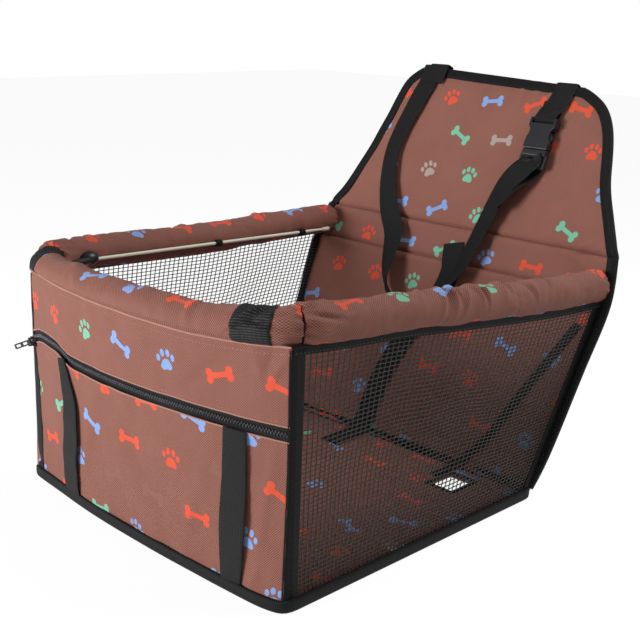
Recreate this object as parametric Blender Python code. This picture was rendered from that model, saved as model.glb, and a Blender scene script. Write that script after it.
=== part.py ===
"""Soft folding car seat for a dog: a cloth basket with net sides, a padded rim
held open by thin rods, a zip pocket on the front and a back flap that hangs
from a head restraint by a webbing strap with a side-release buckle.

Frame: +X right, +Y to the back of the seat, +Z up, metres. The origin is the
middle of the floor panel's underside.
"""
import math

import bmesh
import bpy
from mathutils import Matrix, Vector

MM = 0.001
DEG = math.pi / 180

# Driving sizes of the basket
WIDTH = 420 * MM
DEPTH = 375 * MM
BASE_BOW = 13 * MM
FRONT_BOW = 34 * MM
FRONT_ROW = 30 * MM
RIM_HEIGHT = 262 * MM
LOWER_CREASE = 241 * MM
RIM_BAND = 45 * MM
FLAP_HEIGHT = 205 * MM
SIDE_FLARE = 16 * MM
BACK_LEAN = 24 * DEG

# Cloth, padding and trim
FLOOR_THICKNESS = 5 * MM
WALL_THICKNESS = 2.5 * MM
BACK_THICKNESS = 3 * MM
POCKET_CLOTH = 1.5 * MM
NET_THICKNESS = 1.2 * MM
NET_BAR = 4 * MM
NET_PITCH = 31 * MM
NET_TAPE = 8 * MM
ROLL_DIAMETER = 38 * MM
ROLL_INSET = 10 * MM
ROLL_SIDES = 16
CORNER_FILLET = 24 * MM
BINDING_WIDTH = 13 * MM
BINDING_CLOTH = 1 * MM
BASE_BINDING_HEIGHT = 13 * MM
BASE_BINDING_CLOTH = 3 * MM
CORNER_TAPE_LEG = 7 * MM
CORNER_TAPE_CLOTH = 1.5 * MM
ELASTIC_WIDTH = 40 * MM
ELASTIC_CLOTH = 1.2 * MM
ELASTIC_LEFT_IN = 4 * MM
ELASTIC_RIGHT_IN = 15 * MM
GAP = 0.3 * MM
CREASE_ANGLE = 40 * DEG
MOULDED_ANGLE = 30 * DEG
SOFTEN_ANGLE = 50 * DEG

# Front pocket and zip
ZIP_HEIGHT = 165 * MM
ZIP_BAND = 14 * MM
ZIP_TAPE_CLOTH = 1.2 * MM
COIL_DIAMETER = 3 * MM
SLIDER_LENGTH = 11 * MM
SLIDER_HEIGHT = 9 * MM
SLIDER_WAIST = 7 * MM
SLIDER_CLEARANCE = 0.4 * MM
SLIDER_PLATE = 1.4 * MM
SLIDER_END = 14 * MM
SLIDER_EAR = 1.2 * MM
PULL_PIN = 1.6 * MM
PULL_KNUCKLE = 4 * MM
PULL_LENGTH = 24 * MM
PULL_WIDTH = 6 * MM
PULL_CLOTH = 1.4 * MM
PULL_WINDOW = 9 * MM
PULL_RIM = 1.5 * MM
PULL_REST_TURN = 64 * DEG

# Webbing
WEBBING_WIDTH = 30 * MM
WEBBING_CLOTH = 1.6 * MM
POCKET_STRAP_LEFT = -116 * MM
POCKET_STRAP_RIGHT = 148 * MM
POCKET_STRAP_BOW = 2.5 * MM
SLOT_STRAP_WIDTH = 10 * MM

# Rods of the rim, their elbows and loops
ROD_DIAMETER = 4 * MM
ROD_CLEARANCE = 0.3 * MM
LOOP_WALL = 1.9 * MM
LOOP_LENGTH = 10 * MM
ROD_ANGLE = 22 * DEG
ELBOW_FILLET = 16 * MM
ELBOW_SOCKET = 14 * MM
SOCKET_DEPTH = 12 * MM
ROD_REAR_ROOM = 24 * MM
ROD_TIP_LENGTH = 12 * MM
ROD_TIP_DIAMETER = 5.2 * MM

# Floor slot for the buckle of the car's belt
SLOT_WIDTH = 33 * MM
SLOT_LENGTH = 41 * MM
SLOT_X = 134 * MM
SLOT_FROM_REAR = 42 * MM

# Side-release buckle, built for the webbing
BUCKLE_WIDTH = 38 * MM
BUCKLE_THICKNESS = 11 * MM
BUCKLE_X = 84 * MM
BUCKLE_FROM_TOP = 55 * MM
BUCKLE_LIFT = 9 * MM
SHELL_LENGTH = 40 * MM
SHELL_BAR = 3 * MM
SHELL_SLOT = 4.5 * MM
SHELL_EDGE = 1.2 * MM
CAVITY_HEIGHT = 6.5 * MM
PRONG_HEIGHT = 5.5 * MM
PRONG_CLEARANCE = 0.3 * MM
PRONG_ROOT = 3.4 * MM
TONGUE_WIDTH = 7 * MM
TONGUE_HEIGHT = 5 * MM
PLUG_BODY = 8 * MM
PLUG_HEIGHT = 9 * MM
LADDER_HEIGHT = 4.5 * MM
LADDER_SLOT = 4.5 * MM
LADDER_BAR = 3 * MM
LADDER_END = 2.5 * MM

# Outlines and routes, in shares of the sizes that they follow
BACK_EDGE_shares = ((0.0, 1.015), (0.17, 1.057), (0.52, 1.1), (0.8, 1.133), (1.0, 1.09))
FLAP_EDGE_shares = ((0.0, 1.09), (0.24, 0.98), (0.46, 0.89), (0.78, 0.8), (0.93, 0.7), (1.0, 0.61))
SHELL_OUTLINE_shares = ((1.0, 0.0), (1.0, 0.275), (0.8, 0.39), (0.8, 0.67), (0.95, 0.78), (0.9, 1.0))
PRONG_OUTLINE_shares = ((0.532, 1.0), (0.532, 0.43), (0.58, 0.39), (0.76, 0.42), (0.975, 0.62),
                        (0.975, 0.71), (0.69, 0.735), (0.68, 0.78), (0.68, 1.0))
WINDOW_shares = (0.375, 0.73)
CAVITY_START_share = 0.33
CAVITY_WIDTH_share = 0.7
NECK_WIDTH_share = 0.79
TONGUE_START_share = 0.5
PRONG_PIVOT_share = 0.606
KEEPER_SIDE_shares = (0.5, 0.83)
KEEPER_FRONT_shares = (-0.52, 0.52)
HEADREST_ROUTE_shares = (
    (-0.6, 1.86, 0.12, 0.0), (-0.59, 1.65, 0.13, 0.0), (-0.58, 1.34, 0.2, 0.05), (-0.53, 1.07, 0.27, 0.2),
    (-0.475, 0.91, 0.36, 0.42), (-0.43, 0.77, 0.52, 0.7), (-0.37, 0.67, 0.66, 0.9), (-0.24, 0.6, 0.72, 1.0),
    (-0.08, 0.6, 0.72, 1.08), (0.03, 0.69, 0.66, 1.25), (0.085, 0.81, 0.5, 1.5), (0.12, 0.92, 0.42, 1.65),
    (0.155, 1.04, 0.4, 1.85), (0.2, 1.17, 0.44, 2.0), (0.27, 1.31, 0.5, 2.0))
TETHER_ROUTE_shares = ((0.0, 0.93), (0.0, 0.84), (-0.02, 0.7), (-0.1, 0.52), (-0.19, 0.35),
                       (-0.22, 0.18), (-0.225, 0.07))
SLOT_STRAP_ROUTE_shares = ((0.985, 0.7), (0.88, 0.53), (0.77, 0.35), (0.66, 0.16), (0.56, 0.05))

# Sizes worked out from those above
HALF_WIDTH = WIDTH / 2
FRONT_Y = -DEPTH / 2
REAR_Y = DEPTH / 2
ROLL_RADIUS = ROLL_DIAMETER / 2
UPPER_CREASE = LOWER_CREASE + RIM_BAND
FLAP_TOP = UPPER_CREASE + FLAP_HEIGHT
WALL_FOOT = FLOOR_THICKNESS + GAP
HEM_DROP = ROLL_RADIUS + GAP
HEM_HEIGHT = RIM_HEIGHT - HEM_DROP
BINDING_RISE = BINDING_CLOTH + GAP
SEAT_OFF = BINDING_RISE + GAP
POCKET_OUT = GAP + POCKET_CLOTH
BASE_TOP = BASE_BINDING_HEIGHT + GAP
WEB_REST = GAP + WEBBING_CLOTH / 2
ROD_RADIUS = ROD_DIAMETER / 2
BORE_RADIUS = ROD_RADIUS + ROD_CLEARANCE
LOOP_RADIUS = BORE_RADIUS + LOOP_WALL
ROD_OFFSET = ROLL_RADIUS + GAP + LOOP_RADIUS
ROD_INWARD = ROD_OFFSET * math.cos(ROD_ANGLE)
ROD_DOWN = ROD_OFFSET * math.sin(ROD_ANGLE)
ZIP_LOW = ZIP_HEIGHT - ZIP_BAND / 2
ZIP_HIGH = ZIP_HEIGHT + ZIP_BAND / 2
TAPE_OUT = GAP + ZIP_TAPE_CLOTH
COIL_OUT = TAPE_OUT + GAP + COIL_DIAMETER / 2
SLIDER_OUT = COIL_OUT + COIL_DIAMETER / 2 + SLIDER_CLEARANCE
PIN_OUT = SLIDER_OUT + SLIDER_PLATE + GAP + PULL_KNUCKLE / 2
BUCKLE_HALF = BUCKLE_WIDTH / 2
PLUG_START = SHELL_LENGTH + GAP
PRONG_PIVOT = Vector((BUCKLE_HALF * PRONG_PIVOT_share, PLUG_START + PRONG_ROOT / 2, 0))
BODY_END = PLUG_START + PLUG_BODY
LADDER_START = BODY_END + SHELL_EDGE
LADDER_MIDDLE = LADDER_START + LADDER_SLOT + LADDER_BAR / 2
PLUG_END = LADDER_START + 2 * LADDER_SLOT + LADDER_BAR + LADDER_END


def clear_scene():
    for item in list(bpy.data.objects):
        bpy.data.objects.remove(item, do_unlink=True)


def material(name, colour, roughness, metallic=0.0):
    made = bpy.data.materials.new(name)
    made.use_nodes = True
    shader = made.node_tree.nodes["Principled BSDF"]
    shader.inputs["Base Color"].default_value = (*colour, 1.0)
    shader.inputs["Roughness"].default_value = roughness
    shader.inputs["Metallic"].default_value = metallic
    return made


def brown_oxford():
    return material("brown_oxford", (0.13, 0.058, 0.038), 0.85)


def black_net():
    return material("black_net", (0.012, 0.012, 0.014), 0.8)


def black_webbing():
    return material("black_webbing", (0.02, 0.02, 0.022), 0.8)


def black_acetal():
    return material("black_acetal", (0.025, 0.025, 0.028), 0.4)


def white_rod():
    return material("white_rod", (0.78, 0.78, 0.75), 0.4)


def black_zip():
    return material("black_zip", (0.015, 0.015, 0.017), 0.55)


def enamelled_zinc():
    return material("enamelled_zinc", (0.03, 0.03, 0.032), 0.35, 0.6)


def finish_object(name, bm, look, parent=None, sharp=CREASE_ANGLE):
    """Make an object of a bmesh, shade it, and hang it on its parent."""
    bmesh.ops.recalc_face_normals(bm, faces=bm.faces)
    mesh = bpy.data.meshes.new(name)
    bm.to_mesh(mesh)
    bm.free()
    mesh.materials.append(look)
    mesh.shade_smooth()
    mesh.set_sharp_from_angle(angle=sharp)
    made = bpy.data.objects.new(name, mesh)
    bpy.context.scene.collection.objects.link(made)
    if parent is not None:
        made.parent = parent
        made.matrix_parent_inverse = parent.matrix_world.inverted()
    return made


def joint_empty(name, place, parent=None):
    empty = bpy.data.objects.new(name, None)
    bpy.context.scene.collection.objects.link(empty)
    empty.location = place
    bpy.context.view_layer.update()
    if parent is not None:
        empty.parent = parent
        empty.matrix_parent_inverse = parent.matrix_world.inverted()
        bpy.context.view_layer.update()
    return empty


def sweep(stations, faces=None):
    """A closed body through stations, each a list of the section's points."""
    bm = bmesh.new()
    rings = [[bm.verts.new(point) for point in station] for station in stations]
    faces = faces or [tuple(range(len(rings[0])))]
    rim = []
    for face in faces:
        bm.faces.new([rings[0][index] for index in face])
        bm.faces.new([rings[-1][index] for index in face])
        for start, end in zip(face, face[1:] + face[:1]):
            if (end, start) in rim:
                rim.remove((end, start))
            else:
                rim.append((start, end))
    for before, after in zip(rings, rings[1:]):
        for start, end in rim:
            bm.faces.new((before[start], before[end], after[end], after[start]))
    return bm


def circle_section(radius, sides):
    turn = 2 * math.pi / sides
    return [(radius * math.cos(turn * i), radius * math.sin(turn * i)) for i in range(sides)]


def ring_section(outer, inner, sides):
    """Points and faces of a flat ring, the section of a tube."""
    points = circle_section(outer, sides) + circle_section(inner, sides)
    faces = []
    for i in range(sides):
        after = (i + 1) % sides
        faces.append((i, after, sides + after, sides + i))
    return points, faces


def path_frames(path, start_along=None, end_along=None):
    """Level frames along a path: each is a point, its side and its up direction."""
    frames = []
    for i, point in enumerate(path):
        before = path[max(i - 1, 0)]
        after = path[min(i + 1, len(path) - 1)]
        along = (after - before).normalized()
        if i == 0 and start_along is not None:
            along = start_along.normalized()
        if i == len(path) - 1 and end_along is not None:
            along = end_along.normalized()
        side = along.cross(Vector((0, 0, 1))).normalized()
        frames.append((point, side, side.cross(along).normalized(), along))
    return frames


def stations_along(frames, section):
    return [[point + side * a + up * b for a, b in section] for point, side, up, along in frames]


def front_arc(z):
    """Radius and middle of the front's bow, which grows from the base to the rim."""
    bow = BASE_BOW + (FRONT_BOW - BASE_BOW) * z / RIM_HEIGHT
    radius = (HALF_WIDTH ** 2 + bow ** 2) / (2 * bow)
    return radius, FRONT_Y + radius - bow


def front_point(x, z, out):
    """A point of the bowed front: out is how far it stands in front of the wall."""
    radius, middle_y = front_arc(z)
    turn = math.asin(x / radius)
    return Vector(((radius + out) * math.sin(turn), middle_y - (radius + out) * math.cos(turn), z))


def back_point(u, s, off):
    """A point of the leaning back: s runs up it, off stands in front of it."""
    y = REAR_Y + s * math.sin(BACK_LEAN) - off * math.cos(BACK_LEAN)
    z = FLOOR_THICKNESS + s * math.cos(BACK_LEAN) + off * math.sin(BACK_LEAN)
    return Vector((u, y, z))


def back_y(z, off):
    rise = z - FLOOR_THICKNESS
    return REAR_Y + rise * math.tan(BACK_LEAN) - off / math.cos(BACK_LEAN)


def back_height(share):
    """Distance up the back: 1 is the upper crease and 2 the flap's top."""
    if share <= 1:
        return share * UPPER_CREASE
    return UPPER_CREASE + (share - 1) * FLAP_HEIGHT


def rim_rear_point():
    """Where a side roll's middle meets the band between the creases."""
    z = back_point(0, LOWER_CREASE + RIM_BAND / 2, SEAT_OFF).z
    return Vector((HALF_WIDTH + SIDE_FLARE - ROLL_INSET, back_y(z, SEAT_OFF), z))


def side_point(sign, along, up, out):
    """A point of a net side: along runs to the back and up to the rim."""
    rear = rim_rear_point()
    hem_rear = rear.z - HEM_DROP
    low_y = FRONT_Y + (back_y(WALL_FOOT, SEAT_OFF) - FRONT_Y) * along
    high_y = FRONT_Y + (back_y(hem_rear, SEAT_OFF) - FRONT_Y) * along
    high_z = HEM_HEIGHT + (hem_rear - HEM_HEIGHT) * along
    x = HALF_WIDTH + SIDE_FLARE * along * up + out
    return Vector((sign * x, low_y + (high_y - low_y) * up, WALL_FOOT + (high_z - WALL_FOOT) * up))


def front_strip(name, look, x_range, z_range, out_range, steps=24):
    """A band of cloth that follows the bowed front, in rows because the bow changes with height."""
    height = z_range[1] - z_range[0]
    rows = max(1, round(height / FRONT_ROW))
    heights = [z_range[0] + height * i / rows for i in range(rows + 1)]
    last = 2 * rows + 1
    faces = [(i, i + 1, last - 1 - i, last - i) for i in range(rows)]
    stations = []
    for i in range(steps + 1):
        x = x_range[0] + (x_range[1] - x_range[0]) * i / steps
        inner = [front_point(x, z, out_range[0]) for z in heights]
        outer = [front_point(x, z, out_range[1]) for z in reversed(heights)]
        stations.append(inner + outer)
    return finish_object(name, sweep(stations, faces), look)


def box_mesh(low, high):
    bm = bmesh.new()
    bmesh.ops.create_cube(bm, size=1)
    size = high - low
    bmesh.ops.scale(bm, vec=size, verts=bm.verts)
    bmesh.ops.translate(bm, vec=(low + high) / 2, verts=bm.verts)
    return bm


def prism_mesh(outline, low, high):
    """A flat outline in the XY plane, raised from one height to another."""
    stations = [[Vector((x, y, z)) for x, y in outline] for z in (low, high)]
    return sweep(stations)


def apply_boolean(target, tool, operation):
    change = target.modifiers.new(tool.name, "BOOLEAN")
    change.operation = operation
    change.solver = "EXACT"
    change.object = tool
    tool.hide_render = True
    tool.display_type = "WIRE"


def tool_object(name, bm, matrix=None):
    bmesh.ops.recalc_face_normals(bm, faces=bm.faces)
    if matrix is not None:
        bm.transform(matrix)
    mesh = bpy.data.meshes.new(name)
    bm.to_mesh(mesh)
    bm.free()
    made = bpy.data.objects.new(name, mesh)
    bpy.context.scene.collection.objects.link(made)
    return made


def make_floor(cloth):
    outline = []
    steps = 12
    for i in range(steps + 1):
        x = HALF_WIDTH * (2 * i / steps - 1)
        point = front_point(x, 0, 0)
        outline.append((point.x, point.y))
    rear = back_y(0, -BACK_THICKNESS)
    outline += [(HALF_WIDTH, rear), (-HALF_WIDTH, rear)]
    floor = finish_object("floor_panel", prism_mesh(outline, 0, FLOOR_THICKNESS), cloth)
    slot_y = REAR_Y - SLOT_FROM_REAR
    half = Vector((SLOT_WIDTH / 2, SLOT_LENGTH / 2, FLOOR_THICKNESS))
    middle = Vector((SLOT_X, slot_y, FLOOR_THICKNESS / 2))
    apply_boolean(floor, tool_object("floor_slot_cutter", box_mesh(middle - half, middle + half)),
                  "DIFFERENCE")


def make_base_bindings(tape):
    reach = HALF_WIDTH - GAP
    out = POCKET_OUT + GAP
    front_strip("floor_binding_front", tape, (-reach, reach), (0, BASE_BINDING_HEIGHT),
                (out, out + BASE_BINDING_CLOTH))
    for sign, name in ((-1, "floor_binding_left"), (1, "floor_binding_right")):
        stations = []
        for along in (GAP / DEPTH, 1):
            foot = side_point(sign, along, 0, GAP)
            height = side_point(sign, along, 1, 0).z - WALL_FOOT
            top = side_point(sign, along, (BASE_BINDING_HEIGHT - WALL_FOOT) / height, GAP)
            wide = Vector((sign * BASE_BINDING_CLOTH, 0, 0))
            foot.z = 0
            stations.append([foot, top, top + wide, foot + wide])
        finish_object(name, sweep(stations), tape)
    inner = -BACK_THICKNESS - GAP
    outer = inner - BASE_BINDING_CLOTH
    stations = []
    for x in (-HALF_WIDTH, HALF_WIDTH):
        stations.append([
            Vector((x, back_y(0, inner), 0)),
            Vector((x, back_y(BASE_BINDING_HEIGHT, inner), BASE_BINDING_HEIGHT)),
            Vector((x, back_y(BASE_BINDING_HEIGHT, outer), BASE_BINDING_HEIGHT)),
            Vector((x, back_y(0, outer), 0))])
    finish_object("floor_binding_back", sweep(stations), tape)


def make_front(cloth):
    reach = HALF_WIDTH - NET_THICKNESS - GAP
    front_strip("front_wall", cloth, (-reach, reach), (WALL_FOOT, HEM_HEIGHT), (-WALL_THICKNESS, 0))
    reach = HALF_WIDTH - GAP - POCKET_CLOTH / 2
    front_strip("pocket_lower_panel", cloth, (-reach, reach), (GAP, ZIP_LOW - GAP), (GAP, POCKET_OUT))
    front_strip("pocket_upper_panel", cloth, (-reach, reach), (ZIP_HIGH + GAP, HEM_HEIGHT),
                (GAP, POCKET_OUT))


def make_corner_tapes(tape):
    """A tape folded round each front corner, over the pocket and the net."""
    for sign, name in ((-1, "corner_tape_left"), (1, "corner_tape_right")):
        stations = []
        steps = 8
        for i in range(steps + 1):
            up = i / steps
            z = BASE_TOP + (HEM_HEIGHT - BASE_TOP) * up
            inner = POCKET_OUT + GAP
            outer = inner + CORNER_TAPE_CLOTH
            along = CORNER_TAPE_LEG / DEPTH
            leg = side_point(sign, along, up, GAP)
            wide = Vector((sign * CORNER_TAPE_CLOTH, 0, 0))
            x = sign * (HALF_WIDTH - CORNER_TAPE_LEG)
            corner_in = front_point(sign * HALF_WIDTH, z, inner)
            corner_out = front_point(sign * HALF_WIDTH, z, outer)
            points = [
                front_point(x, z, inner), front_point(x, z, outer),
                Vector((leg.x + wide.x, corner_out.y, z)), leg + wide, leg,
                Vector((leg.x, corner_in.y, z))]
            for point in points:
                point.z = z
            stations.append(points)
        finish_object(name, sweep(stations), tape)


def make_net(sign, name, net):
    """A lattice of bars and gaps, cut out of a sheet that fits the side."""
    length = back_y(HEM_HEIGHT, SEAT_OFF) - FRONT_Y
    height = HEM_HEIGHT - WALL_FOOT
    columns = max(2, round(length / NET_PITCH))
    rows = max(2, round((height - NET_TAPE) / NET_PITCH))
    top_share = 1 - (NET_TAPE + GAP) / height
    column_bar = NET_BAR / length
    row_bar = NET_BAR / height
    column_lines = lattice_lines(columns, column_bar, 1)
    row_lines = lattice_lines(rows, row_bar, top_share)
    bm = bmesh.new()
    wide = len(column_lines) - 1
    tall = len(row_lines) - 1
    made = bmesh.ops.create_grid(bm, x_segments=wide, y_segments=tall, size=0.5)
    for vert in made["verts"]:
        column = round((vert.co.x + 0.5) * wide)
        row = round((vert.co.y + 0.5) * tall)
        vert.co = (column, row, 0)
    gaps = []
    for face in bm.faces:
        middle = face.calc_center_median()
        if int(middle.x) % 2 == 1 and int(middle.y) % 2 == 1:
            gaps.append(face)
    bmesh.ops.delete(bm, geom=gaps, context="FACES")
    for vert in bm.verts:
        along = column_lines[round(vert.co.x)]
        up = row_lines[round(vert.co.y)]
        vert.co = side_point(sign, along, up, 0)
    grown = bmesh.ops.extrude_face_region(bm, geom=bm.faces[:])["geom"]
    moved = [item for item in grown if isinstance(item, bmesh.types.BMVert)]
    bmesh.ops.translate(bm, vec=(-sign * NET_THICKNESS, 0, 0), verts=moved)
    return finish_object(name, bm, net)


def lattice_lines(count, bar, end):
    """Shares where bars and gaps begin: a bar, then a gap and a bar for each count."""
    gap = (end - bar * (count + 1)) / count
    lines = [0, bar]
    for i in range(count):
        lines += [lines[-1] + gap, lines[-1] + gap + bar]
    return lines


def make_sides(net, tape):
    height = HEM_HEIGHT - WALL_FOOT
    for sign, side in ((-1, "left"), (1, "right")):
        make_net(sign, "net_" + side, net)
        stations = []
        for along in (0, 0.5, 1):
            low = 1 - NET_TAPE / height
            wide = Vector((-sign * NET_THICKNESS, 0, 0))
            foot = side_point(sign, along, low, 0)
            top = side_point(sign, along, 1, 0)
            stations.append([foot, top, top + wide, foot + wide])
        finish_object("net_tape_" + side, sweep(stations), tape)


def back_edge(shares, base, height):
    """The right-hand edge of a back panel: half width and distance up the back."""
    return [(HALF_WIDTH * wide, base + height * up) for up, wide in shares]


def mirrored(edge):
    return [(-u, s) for u, s in reversed(edge)]


def inward_at(edge, i):
    """Direction into the panel at a point of its edge, mitred, and level at the ends."""
    here = Vector(edge[i])
    if i == 0:
        return Vector((-1 / (Vector(edge[1]) - here).normalized().y, 0))
    first = (here - Vector(edge[i - 1])).normalized()
    if i == len(edge) - 1:
        return Vector((-1 / first.y, 0))
    second = (Vector(edge[i + 1]) - here).normalized()
    along = (first + second).normalized()
    return Vector((-along.y, along.x)) / along.dot(first)


def inset_rows(edge, count):
    """The panel inside a binding: distance up the back and half width of each row."""
    rows = []
    for i in range(count):
        inward = inward_at(edge, i) * BINDING_RISE
        rows.append((edge[i][1] + inward.y, edge[i][0] + inward.x))
    return rows


def row_at(rows, s):
    for (low, low_wide), (high, high_wide) in zip(rows, rows[1:]):
        if s <= high:
            return s, low_wide + (high_wide - low_wide) * (s - low) / (high - low)
    return s, rows[-1][1]


def back_panel(name, cloth, rows, parent=None):
    stations = []
    for s, wide in rows:
        stations.append([
            back_point(-wide, s, 0), back_point(wide, s, 0),
            back_point(wide, s, -BACK_THICKNESS), back_point(-wide, s, -BACK_THICKNESS)])
    return finish_object(name, sweep(stations), cloth, parent)


def edge_binding(name, tape, edge, parent=None):
    """Tape folded over an edge of the back: its section is a channel."""
    stations = []
    half = BACK_THICKNESS / 2
    clear = half + GAP
    outer = clear + BINDING_CLOTH
    section = ((0, -outer), (BINDING_WIDTH, -outer), (BINDING_WIDTH, -clear), (BINDING_CLOTH, -clear),
               (BINDING_CLOTH, clear), (BINDING_WIDTH, clear), (BINDING_WIDTH, outer), (0, outer))
    for i, (u, s) in enumerate(edge):
        inward = inward_at(edge, i)
        stations.append([
            back_point(u + inward.x * a, s + inward.y * a, b - half) for a, b in section])
    return finish_object(name, sweep(stations), tape, parent)


def cut_rows(rows, low, high):
    """The rows of a panel between two heights, with new ones at both cuts."""
    between = [row for row in rows if low + GAP < row[0] < high - GAP]
    return [row_at(rows, low)] + between + [row_at(rows, high)]


def make_back(cloth, tape):
    edge = back_edge(BACK_EDGE_shares, 0, UPPER_CREASE)
    rows = inset_rows(edge, len(edge))
    foot = (GAP + BACK_THICKNESS * math.sin(BACK_LEAN)) / math.cos(BACK_LEAN)
    back_panel("back_wall", cloth, cut_rows(rows, foot, LOWER_CREASE - GAP / 2))
    back_panel("back_strip", cloth, cut_rows(rows, LOWER_CREASE + GAP / 2, UPPER_CREASE - GAP / 2))
    outer = [(s, wide) for wide, s in edge]
    foot = (BASE_BINDING_HEIGHT + BINDING_RISE) / math.cos(BACK_LEAN)
    bound = [(wide, s) for s, wide in cut_rows(outer, foot, UPPER_CREASE - GAP / 2)]
    edge_binding("back_binding_right", tape, bound)
    edge_binding("back_binding_left", tape, mirrored(bound))


def make_flap(cloth, tape, hinge):
    edge = back_edge(FLAP_EDGE_shares, UPPER_CREASE, FLAP_HEIGHT)
    edge[0] = (edge[0][0], UPPER_CREASE + GAP / 2)
    bound = edge + mirrored(edge)
    back_panel("flap_panel", cloth, inset_rows(bound, len(edge)), hinge)
    edge_binding("flap_binding", tape, bound, hinge)


def bezier_half(start, corner, end, shares):
    points = []
    for t in shares:
        points.append(start * (1 - t) ** 2 + corner * 2 * t * (1 - t) + end * t ** 2)
    return points


class RimLine:
    """One corner of the rim: the bowed front line, a fillet, and the side line."""

    def __init__(self, sign, inward, down, fillet):
        self.sign = sign
        self.inward = inward
        self.down = down
        rear = rim_rear_point()
        self.corner = self.on_front(HALF_WIDTH - ROLL_INSET - inward)
        self.rear = Vector((sign * (rear.x - inward), back_y(rear.z - down, SEAT_OFF), rear.z - down))
        self.side_along = (self.rear - self.corner).normalized()
        self.fillet = fillet
        self.front_end = self.on_front(abs(self.corner.x) - fillet)
        self.side_start = self.corner + self.side_along * fillet

    def on_front(self, x):
        radius, middle_y = front_arc(RIM_HEIGHT)
        y = middle_y - math.sqrt((radius - ROLL_INSET - self.inward) ** 2 - x ** 2)
        return Vector((self.sign * x, y, RIM_HEIGHT - self.down))

    def bend(self, shares):
        return bezier_half(self.front_end, self.corner, self.side_start, shares)

    def on_side(self, share):
        return self.corner + (self.rear - self.corner) * share


def slide_to_plane(points, along, off):
    """Move points along a direction to the plane that stands off the back."""
    normal = Vector((0, -math.cos(BACK_LEAN), math.sin(BACK_LEAN)))
    anchor = back_point(0, 0, off)
    return [point + along * ((anchor - point).dot(normal) / along.dot(normal)) for point in points]


def front_roll_path(line_left, line_right, steps=14):
    """The front roll's middle line, from one corner's seam to the other's."""
    start = line_left.bend((0.5, 0.25, 0))
    end = line_right.bend((0, 0.25, 0.5))
    reach = abs(line_right.front_end.x)
    middle = [line_right.on_front(reach * (2 * i / steps - 1)) for i in range(1, steps)]
    return start + middle + end


def make_rolls(cloth):
    section = circle_section(ROLL_RADIUS, ROLL_SIDES)
    left = RimLine(-1, 0, 0, CORNER_FILLET)
    right = RimLine(1, 0, 0, CORNER_FILLET)
    path = front_roll_path(left, right)
    start_along = left.front_end - left.side_start
    end_along = right.side_start - right.front_end
    path[0] += start_along.normalized() * GAP / 2
    path[-1] -= end_along.normalized() * GAP / 2
    frames = path_frames(path, start_along, end_along)
    finish_object("rim_roll_front", sweep(stations_along(frames, section)), cloth)
    for line, name in ((left, "rim_roll_left"), (right, "rim_roll_right")):
        seam_along = line.side_start - line.front_end
        path = line.bend((0.5, 0.75, 1))
        path[0] += seam_along.normalized() * GAP / 2
        steps = 6
        for i in range(1, steps + 1):
            path.append(line.side_start + (line.rear - line.side_start) * i / steps)
        frames = path_frames(path, seam_along, line.side_along)
        stations = stations_along(frames, section)
        stations[-1] = slide_to_plane(stations[-1], line.side_along, SEAT_OFF)
        finish_object(name, sweep(stations), cloth)
    return left, right


def point_on(path, distance):
    for a, b in zip(path, path[1:]):
        piece = (b - a).length
        if distance <= piece:
            break
        distance -= piece
    return a + (b - a) * (distance / piece)


def path_part(path, start, length):
    """The piece of a path that begins so far along it, with the path's own corners."""
    points = [point_on(path, start)]
    run = 0
    for a, b in zip(path, path[1:]):
        run += (b - a).length
        if start + GAP < run < start + length - GAP:
            points.append(b)
    points.append(point_on(path, start + length))
    return points


def make_elastic_bands(elastic, left, right):
    """Elastic bands from the hem over the front roll, sewn down on its inner side."""
    inner = ROLL_RADIUS + GAP
    outer = inner + ELASTIC_CLOTH
    turn = 2 * math.pi / ROLL_SIDES
    arc = [turn * (i - ROLL_SIDES / 4) for i in range(2, ROLL_SIDES * 3 // 4 + 1)]
    section = [(outer * math.cos(a), outer * math.sin(a)) for a in arc]
    section += [(inner * math.cos(a), inner * math.sin(a)) for a in reversed(arc)]
    last = len(section) - 1
    faces = [(i, i + 1, last - 1 - i, last - i) for i in range(len(arc) - 1)]
    path = front_roll_path(left, right)
    whole = sum((b - a).length for a, b in zip(path, path[1:]))
    for name, start in (("elastic_band_left", ELASTIC_LEFT_IN),
                        ("elastic_band_right", whole - ELASTIC_RIGHT_IN - ELASTIC_WIDTH)):
        frames = path_frames(path_part(path, start, ELASTIC_WIDTH))
        finish_object(name, sweep(stations_along(frames, section), faces), elastic)


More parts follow.
